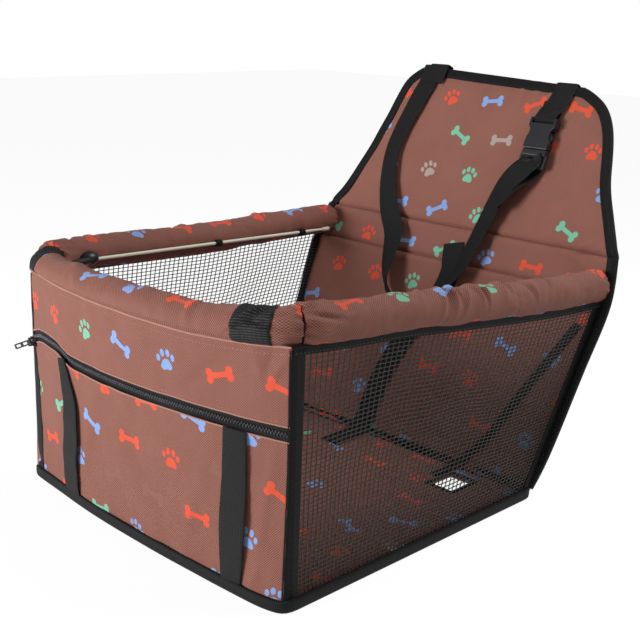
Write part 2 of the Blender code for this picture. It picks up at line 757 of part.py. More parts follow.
def make_rods(rod, plastic, loop):
    """White rods under the rim, plugged into elbows and held by loops of tape."""
    left = RimLine(-1, ROD_INWARD, ROD_DOWN, ELBOW_FILLET)
    right = RimLine(1, ROD_INWARD, ROD_DOWN, ELBOW_FILLET)
    ring, ring_faces = ring_section(LOOP_RADIUS, BORE_RADIUS, 12)
    rod_section = circle_section(ROD_RADIUS, 8)
    socket_out = ELBOW_FILLET + ELBOW_SOCKET
    rod_out = socket_out - SOCKET_DEPTH
    reach = abs(right.corner.x) - rod_out
    steps = 16
    path = [right.on_front(reach * (2 * i / steps - 1)) for i in range(steps + 1)]
    finish_object("front_rod", sweep(stations_along(path_frames(path), rod_section)), rod)
    for share, name in zip(KEEPER_FRONT_shares, ("rod_loop_front_1", "rod_loop_front_2")):
        x = share * HALF_WIDTH
        path = [right.on_front(x + LOOP_LENGTH * step) for step in (-0.5, 0.5)]
        finish_object(name, sweep(stations_along(path_frames(path), ring), ring_faces), loop)
    for line, side in ((left, "left"), (right, "right")):
        bend = line.bend((0, 0.2, 0.4, 0.6, 0.8, 1))
        start = line.on_front(abs(line.corner.x) - socket_out)
        end = line.corner + line.side_along * socket_out
        frames = path_frames([start] + bend + [end])
        finish_object("rod_elbow_" + side, sweep(stations_along(frames, ring), ring_faces), plastic)
        slide = joint_empty("rod_slide_" + side, line.corner + line.side_along * rod_out)
        rod_end = line.rear - line.side_along * (ROD_REAR_ROOM + ROD_TIP_LENGTH)
        path = [line.corner + line.side_along * rod_out, rod_end]
        finish_object("side_rod_" + side, sweep(stations_along(path_frames(path), rod_section)), rod, slide)
        tip = circle_section(ROD_TIP_DIAMETER / 2, 12)
        path = [rod_end + line.side_along * GAP, rod_end + line.side_along * ROD_TIP_LENGTH]
        finish_object("rod_tip_" + side, sweep(stations_along(path_frames(path), tip)), rod, slide)
        for number, share in enumerate(KEEPER_SIDE_shares, 1):
            middle = line.on_side(share)
            half = line.side_along * LOOP_LENGTH / 2
            frames = path_frames([middle - half, middle + half])
            name = "rod_loop_" + side + "_" + str(number)
            finish_object(name, sweep(stations_along(frames, ring), ring_faces), loop)


def make_zip(zip_cloth, zinc):
    reach = HALF_WIDTH - GAP - POCKET_CLOTH / 2
    front_strip("zip_tape_lower", zip_cloth, (-reach, reach), (ZIP_LOW, ZIP_HEIGHT - GAP), (GAP, TAPE_OUT))
    front_strip("zip_tape_upper", zip_cloth, (-reach, reach), (ZIP_HEIGHT + GAP, ZIP_HIGH), (GAP, TAPE_OUT))
    reach = HALF_WIDTH - CORNER_TAPE_LEG - GAP
    steps = 16
    path = [front_point(reach * (2 * i / steps - 1), ZIP_HEIGHT, COIL_OUT) for i in range(steps + 1)]
    section = circle_section(COIL_DIAMETER / 2, 8)
    finish_object("zip_coil", sweep(stations_along(path_frames(path), section)), zip_cloth)
    make_slider(zinc)


def make_slider(zinc):
    """The slider bridges the coil, and the pull swings on its upright pin."""
    radius, middle_y = front_arc(ZIP_HEIGHT)
    turn = -math.asin((HALF_WIDTH - SLIDER_END) / radius)
    along = Vector((math.cos(turn), math.sin(turn), 0))
    out = Vector((math.sin(turn), -math.cos(turn), 0))
    up = Vector((0, 0, 1))
    pivot_point = Vector((0, middle_y, ZIP_HEIGHT))
    centre = pivot_point + out * radius
    pivot = joint_empty("zip_travel", pivot_point)
    low = TAPE_OUT + GAP
    high = SLIDER_OUT + SLIDER_PLATE
    channel = COIL_DIAMETER / 2 + SLIDER_CLEARANCE
    stations = []
    for place, wide in ((-1, SLIDER_HEIGHT), (-0.3, SLIDER_WAIST), (0.3, SLIDER_WAIST), (1, SLIDER_HEIGHT)):
        half = wide / 2
        base = centre + along * (place * SLIDER_LENGTH / 2)
        section = ((-half, low), (-half, high), (half, high), (half, low),
                   (channel, low), (channel, SLIDER_OUT), (-channel, SLIDER_OUT), (-channel, low))
        stations.append([base + up * a + out * b for a, b in section])
    slider = finish_object("zip_slider", sweep(stations), zinc, pivot)
    pin_centre = centre + out * PIN_OUT
    turned = Matrix((along, up, out)).transposed().to_4x4()
    turned.translation = centre
    ear_low = PULL_WIDTH / 2 + GAP
    ear = Vector((PULL_KNUCKLE, SLIDER_EAR, PIN_OUT + PULL_PIN - high + GAP)) / 2
    for sign, name in ((-1, "slider_ear_low"), (1, "slider_ear_high")):
        middle = Vector((0, sign * (ear_low + SLIDER_EAR / 2), high - GAP + ear.z))
        apply_boolean(slider, tool_object(name, box_mesh(middle - ear, middle + ear), turned), "UNION")
    pin = pin_mesh(PULL_PIN / 2, ear_low + SLIDER_EAR / 2)
    apply_boolean(slider, tool_object("slider_pin", pin, Matrix.Translation(pin_centre)), "UNION")
    make_pull(zinc, pin_centre, along, out, pivot)


def pin_mesh(radius, half_length):
    section = circle_section(radius, 10)
    return prism_mesh(section, -half_length, half_length)


def make_pull(zinc, pin_centre, along, out, pivot):
    """A flat tab with a window, its knuckle bored for the slider's pin."""
    hinge = joint_empty("zip_pull_pivot", pin_centre, pivot)
    away = -along * math.cos(PULL_REST_TURN) + out * math.sin(PULL_REST_TURN)
    across = Vector((-away.y, away.x, 0))
    knuckle = PULL_KNUCKLE / 2
    half = PULL_CLOTH / 2
    seat = math.asin(half / knuckle)
    steps = 10
    outline = []
    for i in range(steps + 1):
        angle = seat + (2 * math.pi - 2 * seat) * i / steps
        outline.append((knuckle * math.cos(angle), knuckle * math.sin(angle)))
    outline += [(PULL_LENGTH, -half), (PULL_LENGTH, half)]
    placed = Matrix((away, across, Vector((0, 0, 1)))).transposed().to_4x4()
    placed.translation = pin_centre
    bm = prism_mesh(outline, -PULL_WIDTH / 2, PULL_WIDTH / 2)
    bm.transform(placed)
    pull = finish_object("zip_pull", bm, zinc, hinge)
    bore = pin_mesh(PULL_PIN / 2 + GAP, PULL_WIDTH)
    apply_boolean(pull, tool_object("pull_bore", bore, placed), "DIFFERENCE")
    low = Vector((PULL_LENGTH - PULL_RIM - PULL_WINDOW, -PULL_CLOTH, -PULL_WIDTH / 2 + PULL_RIM))
    high = Vector((PULL_LENGTH - PULL_RIM, PULL_CLOTH, PULL_WIDTH / 2 - PULL_RIM))
    apply_boolean(pull, tool_object("pull_window", box_mesh(low, high), placed), "DIFFERENCE")


def make_pocket_straps(webbing):
    """Two upright straps from the zip to the base, a little bowed outwards."""
    top = ZIP_LOW - GAP
    base = POCKET_OUT + GAP
    for x, name in ((POCKET_STRAP_LEFT, "pocket_strap_left"), (POCKET_STRAP_RIGHT, "pocket_strap_right")):
        stations = []
        steps = 6
        for i in range(steps + 1):
            z = BASE_TOP + (top - BASE_TOP) * i / steps
            out = base + POCKET_STRAP_BOW * math.sin(math.pi * i / steps)
            left = x - WEBBING_WIDTH / 2
            right = x + WEBBING_WIDTH / 2
            outer = out + WEBBING_CLOTH
            stations.append([
                front_point(left, z, out), front_point(right, z, out),
                front_point(right, z, outer), front_point(left, z, outer)])
        finish_object(name, sweep(stations), webbing)


def smooth_route(route, steps):
    """A smooth curve through a route's points, given as tuples of numbers."""
    result = []
    for i in range(len(route) - 1):
        before = route[max(i - 1, 0)]
        start = route[i]
        end = route[i + 1]
        after = route[min(i + 2, len(route) - 1)]
        for step in range(steps):
            t = step / steps
            point = []
            for a, b, c, d in zip(before, start, end, after):
                curve = 2 * a - 5 * b + 4 * c - d + t * (3 * (b - c) + d - a)
                point.append(b + 0.5 * t * (c - a + t * curve))
            result.append(tuple(point))
    result.append(tuple(route[-1]))
    return result


def strap_mesh(points, sides, width):
    """Flat webbing through points, each with the direction across it."""
    stations = []
    for i, (point, side) in enumerate(zip(points, sides)):
        along = (points[min(i + 1, len(points) - 1)] - points[max(i - 1, 0)]).normalized()
        across = (side - along * side.dot(along)).normalized()
        face = along.cross(across)
        half = across * width / 2
        thick = face * WEBBING_CLOTH / 2
        left = point - half
        right = point + half
        stations.append([left - thick, right - thick, right + thick, left + thick])
    return sweep(stations)


def back_direction(u, s, off):
    return back_point(u, s, off) - back_point(0, 0, 0)


def over_top_route(u):
    """Webbing sewn behind the flap and folded forward over its bound top."""
    front = SEAT_OFF + WEBBING_CLOTH / 2
    behind = -BACK_THICKNESS - front
    top = FLAP_TOP + WEB_REST
    return [(u, FLAP_TOP - WEBBING_WIDTH, behind), (u, top, behind), (u, top, front),
            (u, FLAP_TOP - BINDING_WIDTH - WEBBING_CLOTH, front)]


def round_bar_route(middle, first, last):
    """Points of webbing round a buckle bar, from one height above it to the other."""
    radius = math.hypot(LADDER_BAR, LADDER_HEIGHT) / 2 + WEB_REST
    steps = 8
    points = []
    for i in range(steps + 1):
        angle = first + (last - first) * i / steps
        points.append((BUCKLE_X, middle + radius * math.cos(angle), BUCKLE_LIFT + radius * math.sin(angle)))
    return points


def buckle_s(along):
    """Distance up the back of a place along the buckle, counted from its bar end."""
    return FLAP_TOP - BUCKLE_FROM_TOP - along


def make_headrest_strap(webbing, hinge):
    """From the flap's top down into the basket, up again and round the plug's bar."""
    u = HEADREST_ROUTE_shares[0][0] * HALF_WIDTH
    free = []
    for u_share, height, lift, turn in HEADREST_ROUTE_shares:
        free.append((u_share * HALF_WIDTH, back_height(height), lift * WEBBING_WIDTH, turn * math.pi / 2))
    end = buckle_s(PLUG_END)
    clear = LADDER_HEIGHT / 2 + WEB_REST
    tail_u = BUCKLE_X - WEBBING_WIDTH / 2
    route = [(*point, 0) for point in over_top_route(u)] + smooth_route(free, 2)
    raised = BUCKLE_LIFT + clear + WEBBING_CLOTH / 2
    route.append((BUCKLE_X - WEBBING_CLOTH, end - WEBBING_CLOTH, raised, math.pi))
    for point in round_bar_route(buckle_s(LADDER_MIDDLE), math.pi * 0.6, -math.pi * 0.6):
        route.append((*point, math.pi))
    route.append((BUCKLE_X, end - WEBBING_CLOTH, BUCKLE_LIFT - clear, math.pi))
    route.append((tail_u, end - 2 * WEBBING_WIDTH, WEB_REST + BINDING_CLOTH, math.pi))
    points = [back_point(u, s, off) for u, s, off, turn in route]
    sides = [back_direction(math.cos(turn), 0, math.sin(turn)) for u, s, off, turn in route]
    first = len(over_top_route(u))
    for i in range(first, first + 2 * len(free)):
        if abs(math.sin(route[i][3])) < GAP:
            sides[i] = back_direction(0, 0, 1).cross(points[i + 1] - points[i - 1])
    finish_object("headrest_strap", strap_mesh(points, sides, WEBBING_WIDTH), webbing, hinge)


def make_loop_strap(webbing, hinge):
    """The short strap that holds the buckle's shell on the flap's top."""
    route = over_top_route(BUCKLE_X)
    bar = buckle_s(SHELL_BAR / 2)
    route += round_bar_route(bar, math.pi * 0.4, math.pi * 1.6)
    route.append((BUCKLE_X, bar + WEBBING_WIDTH * 0.8, SEAT_OFF + GAP))
    points = [back_point(*point) for point in route]
    sides = [Vector((1, 0, 0)) for point in route]
    finish_object("loop_strap", strap_mesh(points, sides, WEBBING_WIDTH), webbing, hinge)


def make_tether(webbing):
    """Webbing sewn to the band at the back, hanging down the wall on to the floor."""
    points = []
    for u, height in smooth_route(TETHER_ROUTE_shares, 2):
        points.append(back_point(u * HALF_WIDTH, back_height(height), WEB_REST))
    lying = FLOOR_THICKNESS + WEB_REST
    foot = points[-1]
    points.append(Vector((foot.x, REAR_Y - WEBBING_WIDTH / 6, lying + WEBBING_WIDTH / 6)))
    points.append(Vector((foot.x, REAR_Y - WEBBING_WIDTH / 3, lying)))
    points.append(Vector((foot.x, REAR_Y - 2 * WEBBING_WIDTH, lying)))
    sides = [Vector((1, 0, 0)) for point in points]
    finish_object("tether_strap", strap_mesh(points, sides, WEBBING_WIDTH), webbing)


def make_slot_strap(webbing):
    """A narrow strap down the back's right side to the floor beside the slot."""
    points = []
    sides = []
    for u, height in smooth_route(SLOT_STRAP_ROUTE_shares, 2):
        points.append(back_point(u * HALF_WIDTH, back_height(height), WEB_REST))
    along = (points[0] - points[-1]).normalized()
    normal = back_direction(0, 0, 1)
    sides = [along.cross(normal) for point in points]
    lying = FLOOR_THICKNESS + WEB_REST
    foot_x = SLOT_X - SLOT_WIDTH / 2 - SLOT_STRAP_WIDTH
    points.append(Vector((foot_x, REAR_Y - SLOT_STRAP_WIDTH, lying + WEBBING_CLOTH)))
    points.append(Vector((foot_x, REAR_Y - 2 * SLOT_STRAP_WIDTH, lying)))
    points.append(Vector((foot_x, REAR_Y - SLOT_FROM_REAR, lying)))
    sides += [Vector((1, 0, 0)) for i in range(3)]
    finish_object("slot_strap", strap_mesh(points, sides, SLOT_STRAP_WIDTH), webbing)


def buckle_matrix():
    """From the buckle's own axes (across, along to the plug, out) to the flap."""
    across = Vector((1, 0, 0))
    along = -back_direction(0, 1, 0)
    out = across.cross(along)
    turned = Matrix((across, along, out)).transposed().to_4x4()
    turned.translation = back_point(BUCKLE_X, buckle_s(0), BUCKLE_LIFT)
    return turned


def centred_box(half_across, along_range, height):
    low = Vector((-half_across, along_range[0], -height / 2))
    high = Vector((half_across, along_range[1], height / 2))
    return box_mesh(low, high)


def bar_relief(low, high):
    """Room for the webbing in front of the shell's bar, or behind it."""
    half = WEBBING_WIDTH / 2 + GAP
    return box_mesh(Vector((-half, -SHELL_SLOT, low)), Vector((half, SHELL_BAR + GAP, high)))


def cavity_outline():
    """The hollow seen from in front: a chamber for the prongs, then the wider mouth."""
    chamber = BUCKLE_HALF * CAVITY_WIDTH_share
    mouth = BUCKLE_HALF * NECK_WIDTH_share
    step = WINDOW_shares[1] * SHELL_LENGTH - SHELL_BAR
    right = [(chamber, CAVITY_START_share * SHELL_LENGTH), (chamber, step), (mouth, step),
             (mouth, SHELL_LENGTH + BUCKLE_WIDTH)]
    return right + [(-a, b) for a, b in reversed(right)]


def make_shell(acetal, place, hinge):
    """The hollow half: a slotted bar, open side windows and a mouth."""
    right = [(a * BUCKLE_HALF, b * SHELL_LENGTH) for a, b in SHELL_OUTLINE_shares]
    left = [(-a, b) for a, b in reversed(right)]
    bm = prism_mesh(right + left, -BUCKLE_THICKNESS / 2, BUCKLE_THICKNESS / 2)
    bmesh.ops.recalc_face_normals(bm, faces=bm.faces)
    bm.transform(place)
    shell = finish_object("buckle_shell", bm, acetal, hinge, MOULDED_ANGLE)
    soften = shell.modifiers.new("soften", "BEVEL")
    soften.width = SHELL_EDGE
    soften.segments = 2
    soften.limit_method = "ANGLE"
    soften.angle_limit = SOFTEN_ANGLE
    slot_half = WEBBING_WIDTH / 2 + GAP
    start, end = (share * SHELL_LENGTH for share in WINDOW_shares)
    cuts = {
        "shell_bar_front": bar_relief(LADDER_HEIGHT / 2, BUCKLE_THICKNESS),
        "shell_bar_rear": bar_relief(-BUCKLE_THICKNESS, -LADDER_HEIGHT / 2),
        "shell_slot": centred_box(slot_half, (SHELL_BAR, SHELL_BAR + SHELL_SLOT), BUCKLE_WIDTH),
        "shell_cavity": prism_mesh(cavity_outline(), -CAVITY_HEIGHT / 2, CAVITY_HEIGHT / 2),
        "shell_window": centred_box(BUCKLE_WIDTH, (start, end), PRONG_HEIGHT + 2 * PRONG_CLEARANCE)}
    for name, cutter in cuts.items():
        apply_boolean(shell, tool_object(name, cutter, place), "DIFFERENCE")


def make_plug(acetal, place, hinge):
    """The solid half: a guide tongue, two prong seats and the webbing ladder."""
    bm = centred_box(BUCKLE_HALF * SHELL_OUTLINE_shares[-1][0], (PLUG_START, BODY_END), PLUG_HEIGHT)
    bm.transform(place)
    plug = finish_object("buckle_plug", bm, acetal, hinge, MOULDED_ANGLE)
    soften = plug.modifiers.new("soften", "BEVEL")
    soften.width = SHELL_EDGE
    soften.segments = 2
    soften.limit_method = "ANGLE"
    ladder = centred_box(BUCKLE_HALF, (BODY_END - 2 * SHELL_EDGE, PLUG_END), LADDER_HEIGHT)
    apply_boolean(plug, tool_object("plug_ladder", ladder, place), "UNION")
    tongue = centred_box(TONGUE_WIDTH / 2, (TONGUE_START_share * SHELL_LENGTH, BODY_END - PRONG_ROOT),
                         TONGUE_HEIGHT)
    apply_boolean(plug, tool_object("plug_tongue", tongue, place), "UNION")
    slot_half = WEBBING_WIDTH / 2 + GAP
    for number, start in ((1, LADDER_START), (2, LADDER_START + LADDER_SLOT + LADDER_BAR)):
        slot = centred_box(slot_half, (start, start + LADDER_SLOT), BUCKLE_WIDTH)
        apply_boolean(plug, tool_object("ladder_slot_" + str(number), slot, place), "DIFFERENCE")
    radius = PRONG_ROOT / 2 + PRONG_CLEARANCE
    height = PRONG_HEIGHT / 2 + PRONG_CLEARANCE
    for sign, side in ((-1, "left"), (1, "right")):
        pivot = Vector((sign * PRONG_PIVOT.x, PRONG_PIVOT.y, 0))
        recess = prism_mesh(seat_outline(radius), -height, height)
        tool = tool_object("prong_seat_" + side, recess, place @ Matrix.Translation(pivot))
        apply_boolean(plug, tool, "DIFFERENCE")


def seat_outline(radius):
    """A half round, deep in the plug, that opens towards the shell."""
    steps = 8
    outline = []
    for i in range(steps + 1):
        angle = math.pi * i / steps
        outline.append((radius * math.cos(angle), radius * math.sin(angle)))
    outline += [(-radius, -2 * radius), (radius, -2 * radius)]
    return outline


def make_prong(sign, side, acetal, place, hinge):
    """A springy prong: a round root, an arm and a ramped head in the window."""
    pivot_local = Vector((sign * PRONG_PIVOT.x, PRONG_PIVOT.y, 0))
    pivot = joint_empty("prong_pivot_" + side, place @ pivot_local, hinge)
    outline = [(sign * a * BUCKLE_HALF, b * SHELL_LENGTH) for a, b in PRONG_OUTLINE_shares]
    radius = PRONG_ROOT / 2
    steps = 8
    lean = math.asin(min(1, (outline[-1][0] - pivot_local.x) * sign / radius))
    for i in range(steps + 1):
        angle = -lean + (math.pi + 2 * lean) * i / steps
        start = pivot_local.x + sign * radius * math.cos(angle)
        outline.append((start, pivot_local.y + radius * math.sin(angle)))
    bm = prism_mesh(outline, -PRONG_HEIGHT / 2, PRONG_HEIGHT / 2)
    bm.transform(place)
    finish_object("buckle_prong_" + side, bm, acetal, pivot, MOULDED_ANGLE)


def make_buckle(acetal, hinge):
    place = buckle_matrix()
    make_shell(acetal, place, hinge)
    make_plug(acetal, place, hinge)
    for sign, side in ((-1, "left"), (1, "right")):
        make_prong(sign, side, acetal, place, hinge)


def main():
    clear_scene()
    cloth = brown_oxford()
    tape = black_webbing()
    acetal = black_acetal()
    make_floor(cloth)
    make_base_bindings(tape)
    make_front(cloth)
    make_corner_tapes(tape)
    make_sides(black_net(), tape)
    make_back(cloth, tape)
    left, right = make_rolls(cloth)
    make_elastic_bands(tape, left, right)
    make_rods(white_rod(), acetal, tape)
    make_zip(black_zip(), enamelled_zinc())
    make_pocket_straps(tape)
    make_tether(tape)
    make_slot_strap(tape)
    hinge = joint_empty("flap_fold", back_point(0, UPPER_CREASE, SEAT_OFF))
    make_flap(cloth, tape, hinge)
    make_headrest_strap(tape, hinge)
    make_loop_strap(tape, hinge)
    make_buckle(acetal, hinge)


main()
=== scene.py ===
import math

import bmesh
import bpy
from mathutils import Matrix, Vector, noise


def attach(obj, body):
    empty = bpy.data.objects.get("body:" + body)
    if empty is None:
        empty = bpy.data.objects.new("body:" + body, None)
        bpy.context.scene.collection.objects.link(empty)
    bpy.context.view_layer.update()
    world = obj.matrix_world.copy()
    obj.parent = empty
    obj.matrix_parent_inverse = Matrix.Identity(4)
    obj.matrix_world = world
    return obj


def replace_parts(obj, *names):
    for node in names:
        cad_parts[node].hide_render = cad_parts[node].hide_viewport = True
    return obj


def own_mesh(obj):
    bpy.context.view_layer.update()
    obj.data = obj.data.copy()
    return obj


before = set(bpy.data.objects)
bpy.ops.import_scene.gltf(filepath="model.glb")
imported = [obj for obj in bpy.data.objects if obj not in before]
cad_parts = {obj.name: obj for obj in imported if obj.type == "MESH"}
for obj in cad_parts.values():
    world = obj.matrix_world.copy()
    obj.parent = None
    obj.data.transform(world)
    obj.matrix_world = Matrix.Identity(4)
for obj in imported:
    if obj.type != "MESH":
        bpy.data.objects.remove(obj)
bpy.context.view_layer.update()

MM = 0.001
DEG = math.pi / 180
ACROSS = Vector((1, 0, 0))
UPRIGHT = Vector((0, 0, 1))

# Sizes shared with the solids: the basket and its walls
HALF_WIDTH = 210 * MM
FRONT_Y = -187.5 * MM
REAR_Y = 187.5 * MM
BASE_BOW = 13 * MM
FRONT_BOW = 34 * MM
RIM_HEIGHT = 262 * MM
LOWER_CREASE = 241 * MM
UPPER_CREASE = 286 * MM
FLAP_TOP = 491 * MM
SIDE_FLARE = 16 * MM
BACK_LEAN = 24 * DEG
FLOOR_THICKNESS = 5 * MM
WALL_THICKNESS = 2.5 * MM
BACK_THICKNESS = 3 * MM
GAP = 0.3 * MM
WALL_FOOT = FLOOR_THICKNESS + GAP
ROLL_RADIUS = 19 * MM
ROLL_INSET = 10 * MM
CORNER_FILLET = 24 * MM
HEM_DROP = ROLL_RADIUS + GAP
HEM_HEIGHT = RIM_HEIGHT - HEM_DROP
# How far in front of the back's face the rolls and the nets end, and the flap's hinge stands
SEAT_OFF = 1.6 * MM

# The zip, the webbing, the rods and the buckle
ZIP_HEIGHT = 165 * MM
ZIP_HALF = 7.2 * MM
WEBBING = 30 * MM
WEBBING_CLOTH = 1.6 * MM
SLOT_STRAP = 10 * MM
ROD_RADIUS = 2 * MM
TIP_RADIUS = 2.6 * MM
LOOP_RADIUS = 4.2 * MM
ROD_ANGLE = 22 * DEG
ROD_OFFSET = ROLL_RADIUS + GAP + LOOP_RADIUS
ROD_INWARD = ROD_OFFSET * math.cos(ROD_ANGLE)
ROD_DOWN = ROD_OFFSET * math.sin(ROD_ANGLE)
ROD_FILLET = 16 * MM
SLIDER_FROM_END = 14 * MM
PULL_PIN_OUT = 8.9 * MM
SLOT_LOW = Vector((117.5, 125, 0)) * MM
SLOT_HIGH = Vector((150.5, 166, 0)) * MM
BUCKLE_X = 84 * MM
BUCKLE_LIFT = 9 * MM
BUCKLE_TOP = FLAP_TOP - 55 * MM
LADDER_MIDDLE = 55.5 * MM

# How the cloth settles away from the solids: a place along it, in mm or as a share, then the change in mm
ZIP_LIFT = ((-210, 3), (-200, 5), (-192, 8.5), (-179, 12), (-161, 12.5), (-148, 13), (-129, 12.5),
            (-120, 12), (-111, 7.5), (-100, 4.2), (-78, 4.4), (-60, 4.5), (-27, 4.8), (0, 5), (60, 5.5),
            (120, 7), (210, 7))
HEM_RISE = ((-210, 2), (-189, 4.2), (-132, 4), (-83, 4.3), (-15, 4.6), (42, 3.9), (96, 3.4), (152, 4.9),
            (185, 7), (210, 10))
PULL_REACH = 26 * MM
LEFT_PULL = ((0, 0), (60, 2.5), (140, 3.5), (190, 4.5), (225, 7), (250, 8.5))
LEFT_TAPE_LEG = ((0, 19), (115, 19), (150, 12), (175, 6.5), (245, 3.5))
PUSH_HEIGHT = 140 * MM
BASE_PUSH = ((-210, 0), (-150, -1), (-90, 0.5), (0, 1), (90, 3), (150, 6), (190, 8.5), (205, 6), (212, 3))
FRONT_SAG = ((-200, -7), (-170, -11), (-120, -9), (-40, -8), (40, -6), (100, -9), (140, -4), (165, 0),
             (200, 3))
RIGHT_SAG = ((0, 5), (0.12, 2), (0.3, 0), (0.47, -5), (0.64, -9.5), (0.81, -13), (1, -13))
LEFT_SAG = ((0, -4), (0.3, -5.5), (0.54, -6), (0.7, -2), (1, 1))

# Single folds: middle across and up in mm, turn in degrees, half length, half width and height in mm
POCKET_FOLDS = ((196, 228, 60, 14, 2.4, 1.6), (188, 236, 75, 12, 2.2, -1.4), (176, 232, 100, 16, 3, 1.2),
                (-60, 120, 62, 60, 10, 1.6), (20, 90, 115, 70, 12, -1.4), (95, 70, 70, 55, 9, 1.4),
                (-150, 60, 80, 40, 8, 1.2), (185, 90, 82, 70, 6, 1.6), (10, 215, 20, 70, 8, 1.2),
                (-120, 210, -30, 50, 7, 1.1), (110, 205, 40, 45, 8, -1.2), (172, 20, 60, 25, 5, 1.4))
RIGHT_ROLL_FOLDS = ((176, 24, 72, 20, 3.0, 3.2), (184, 16, 66, 22, 2.8, -3.8), (193, 22, 78, 22, 3.2, 4),
                    (201, 24, 84, 20, 2.6, -3.2), (209, 12, 60, 18, 3.0, 2.8), (228, 26, 100, 16, 3.0, 3.5),
                    (235, 24, 96, 18, 2.6, -3.5), (242, 20, 84, 15, 3.0, 2.2), (150, 30, 62, 14, 3.0, 2),
                    (120, 10, 30, 20, 4, 1.6), (272, 26, 80, 16, 3.2, 2.5), (280, 24, 84, 16, 3.0, -2.4),
                    (312, 18, 105, 16, 3.4, -2.5), (320, 22, 98, 16, 3.2, 2.2), (80, 22, 40, 24, 5, -1.8),
                    (22, 30, 15, 20, 3.0, 3.2), (14, 14, -20, 20, 2.8, -3.5), (30, 4, 24, 20, 3.0, 2.8),
                    (36, -8, -12, 20, 3.2, -2.8), (352, 24, 60, 20, 3.6, -2.8))
LEFT_ROLL_FOLDS = ((40, 40, 60, 20, 3, -3.2), (62, 44, 100, 16, 3, 2.7), (96, 52, 70, 18, 3, -2.7),
                   (190, 46, 75, 20, 3, -3.4), (202, 44, 95, 16, 3, 2.5), (150, 50, 40, 22, 4, 2.2),
                   (280, 46, 100, 18, 3, -2.3), (330, 42, 60, 20, 4, 2.5))
FRONT_ROLL_FOLDS = ((372, 8, 20, 24, 2.6, -3.4), (368, 18, 38, 24, 2.8, 3.1), (380, 26, 62, 20, 2.6, -3.4),
                    (384, 2, -12, 20, 2.6, 2.9), (362, 32, 82, 18, 3, -2.6), (300, 20, 100, 20, 5, 1.9),
                    (200, 26, 30, 30, 6, -1.3), (120, 24, 140, 30, 6, 1.3), (60, 30, 50, 24, 5, -1.4))
BACK_FOLDS = ((30, 470, 92, 22, 3.4, 1.7), (41, 468, 80, 20, 3, -1.4), (54, 462, 98, 26, 3.6, 1.7),
              (72, 466, 86, 20, 3, 1.2), (-30, 466, 85, 18, 4, 1.0), (-150, 318, 20, 40, 5, 1.3),
              (190, 296, 35, 22, 3, 1.9), (198, 286, 10, 22, 2.4, -1.7), (186, 272, -25, 24, 3, 1.9),
              (196, 262, -5, 20, 2.4, -1.6), (60, 275, 90, 14, 4, 1.1), (110, 276, 80, 14, 4, -1.1),
              (-30, 262, 95, 16, 4, 1.0), (20, 330, 15, 60, 10, 1.4), (130, 360, 75, 60, 12, -1.6),
              (-90, 380, 100, 60, 12, 1.4), (60, 120, 80, 60, 10, 1.6), (-60, 110, 105, 60, 10, -1.6),
              (150, 120, 60, 60, 10, 1.6), (-150, 120, 120, 60, 10, 1.6))

# Edges of the back and the flap: across and up in mm
BACK_EDGE = ((213, 0), (222, 49), (231, 149), (238, 229), (229, 286))
FLAP_LEFT = ((-229, 286), (-213, 318), (-192, 362), (-178, 412), (-170, 448), (-160, 476), (-136, 495))
FLAP_RIGHT = ((229, 286), (209, 328), (191, 368), (181, 405), (168, 441), (149, 466), (120, 482.5))

# The headrest strap hangs in one long loop: across, up and off the flap in mm, and its twist in right angles
HEADREST_ROUTE = ((-122, 468, 3.6, 0), (-127, 453, 3.7, 0.02), (-134, 426, 3.8, 0.06), (-140, 402, 4, 0.1),
                  (-143, 374, 4.5, 0.14), (-138, 345, 5.5, 0.14), (-128, 318, 7, 0.1),
                  (-113, 291, 8.5, 0.04), (-93, 265, 10.5, 0), (-87, 250, 12.5, 0.08), (-83, 232, 15, 0.2),
                  (-78, 214, 17.5, 0.32), (-70, 195, 19.5, 0.5), (-52, 178, 21, 0.85),
                  (-25, 171, 21.5, 1.0), (0, 178, 20.5, 0.9), (20, 198, 18.5, 0.55), (33, 230, 15.5, 0.3),
                  (39, 260, 13.5, 0.24), (45, 293, 12.5, 0.22), (52, 325, 13, 0.18), (62, 350, 14.5, 0.08))

# The print: bones and paw prints on a staggered lattice, in mm. The steps share out the colours,
# the bones are a share too, the tilt is in radians, and the edge is half of where the ink fades
PRINT_COLUMN = 66.0
PRINT_ROW = 50.0
PRINT_SCALE = 0.8
PRINT_COLOURS = ("#f0583a", "#86b0ee", "#78cfae", "#f0583a", "#8d6155", "#b3a8a2", "#86b0ee")
PRINT_STEPS = (0.0, 0.26, 0.46, 0.66, 0.76, 0.86, 0.92)
PRINT_BONES = 0.52
PRINT_TILT = 1.1
INK_EDGE = 0.25


def linear_colour(code):
    """sRGB hex to linear."""
    parts = [int(code[i:i + 2], 16) / 255 for i in (1, 3, 5)]
    return tuple(c / 12.92 if c <= 0.04045 else ((c + 0.055) / 1.055) ** 2.4 for c in parts) + (1.0,)


def add(tree, kind, inputs=(), out=0, **settings):
    """Add a node with its settings, link or set its inputs, and return one of its outputs.

    The inputs are a row of values from the first on, or values by name or number. Text is a hex colour."""
    made = tree.nodes.new("ShaderNode" + kind)
    for key, value in settings.items():
        setattr(made, key, value)
    for key, value in inputs.items() if isinstance(inputs, dict) else enumerate(inputs):
        if isinstance(value, bpy.types.NodeSocket):
            tree.links.new(value, made.inputs[key])
        else:
            made.inputs[key].default_value = linear_colour(value) if isinstance(value, str) else value
    return made.outputs[out]


def new_look(name, **values):
    """A material with its shader's own values set, and its tree."""
    look = bpy.data.materials.new(name)
    look.use_nodes = True
    shader = look.node_tree.nodes["Principled BSDF"]
    for key, value in values.items():
        shader.inputs[key.replace("_", " ")].default_value = value
    return look, look.node_tree


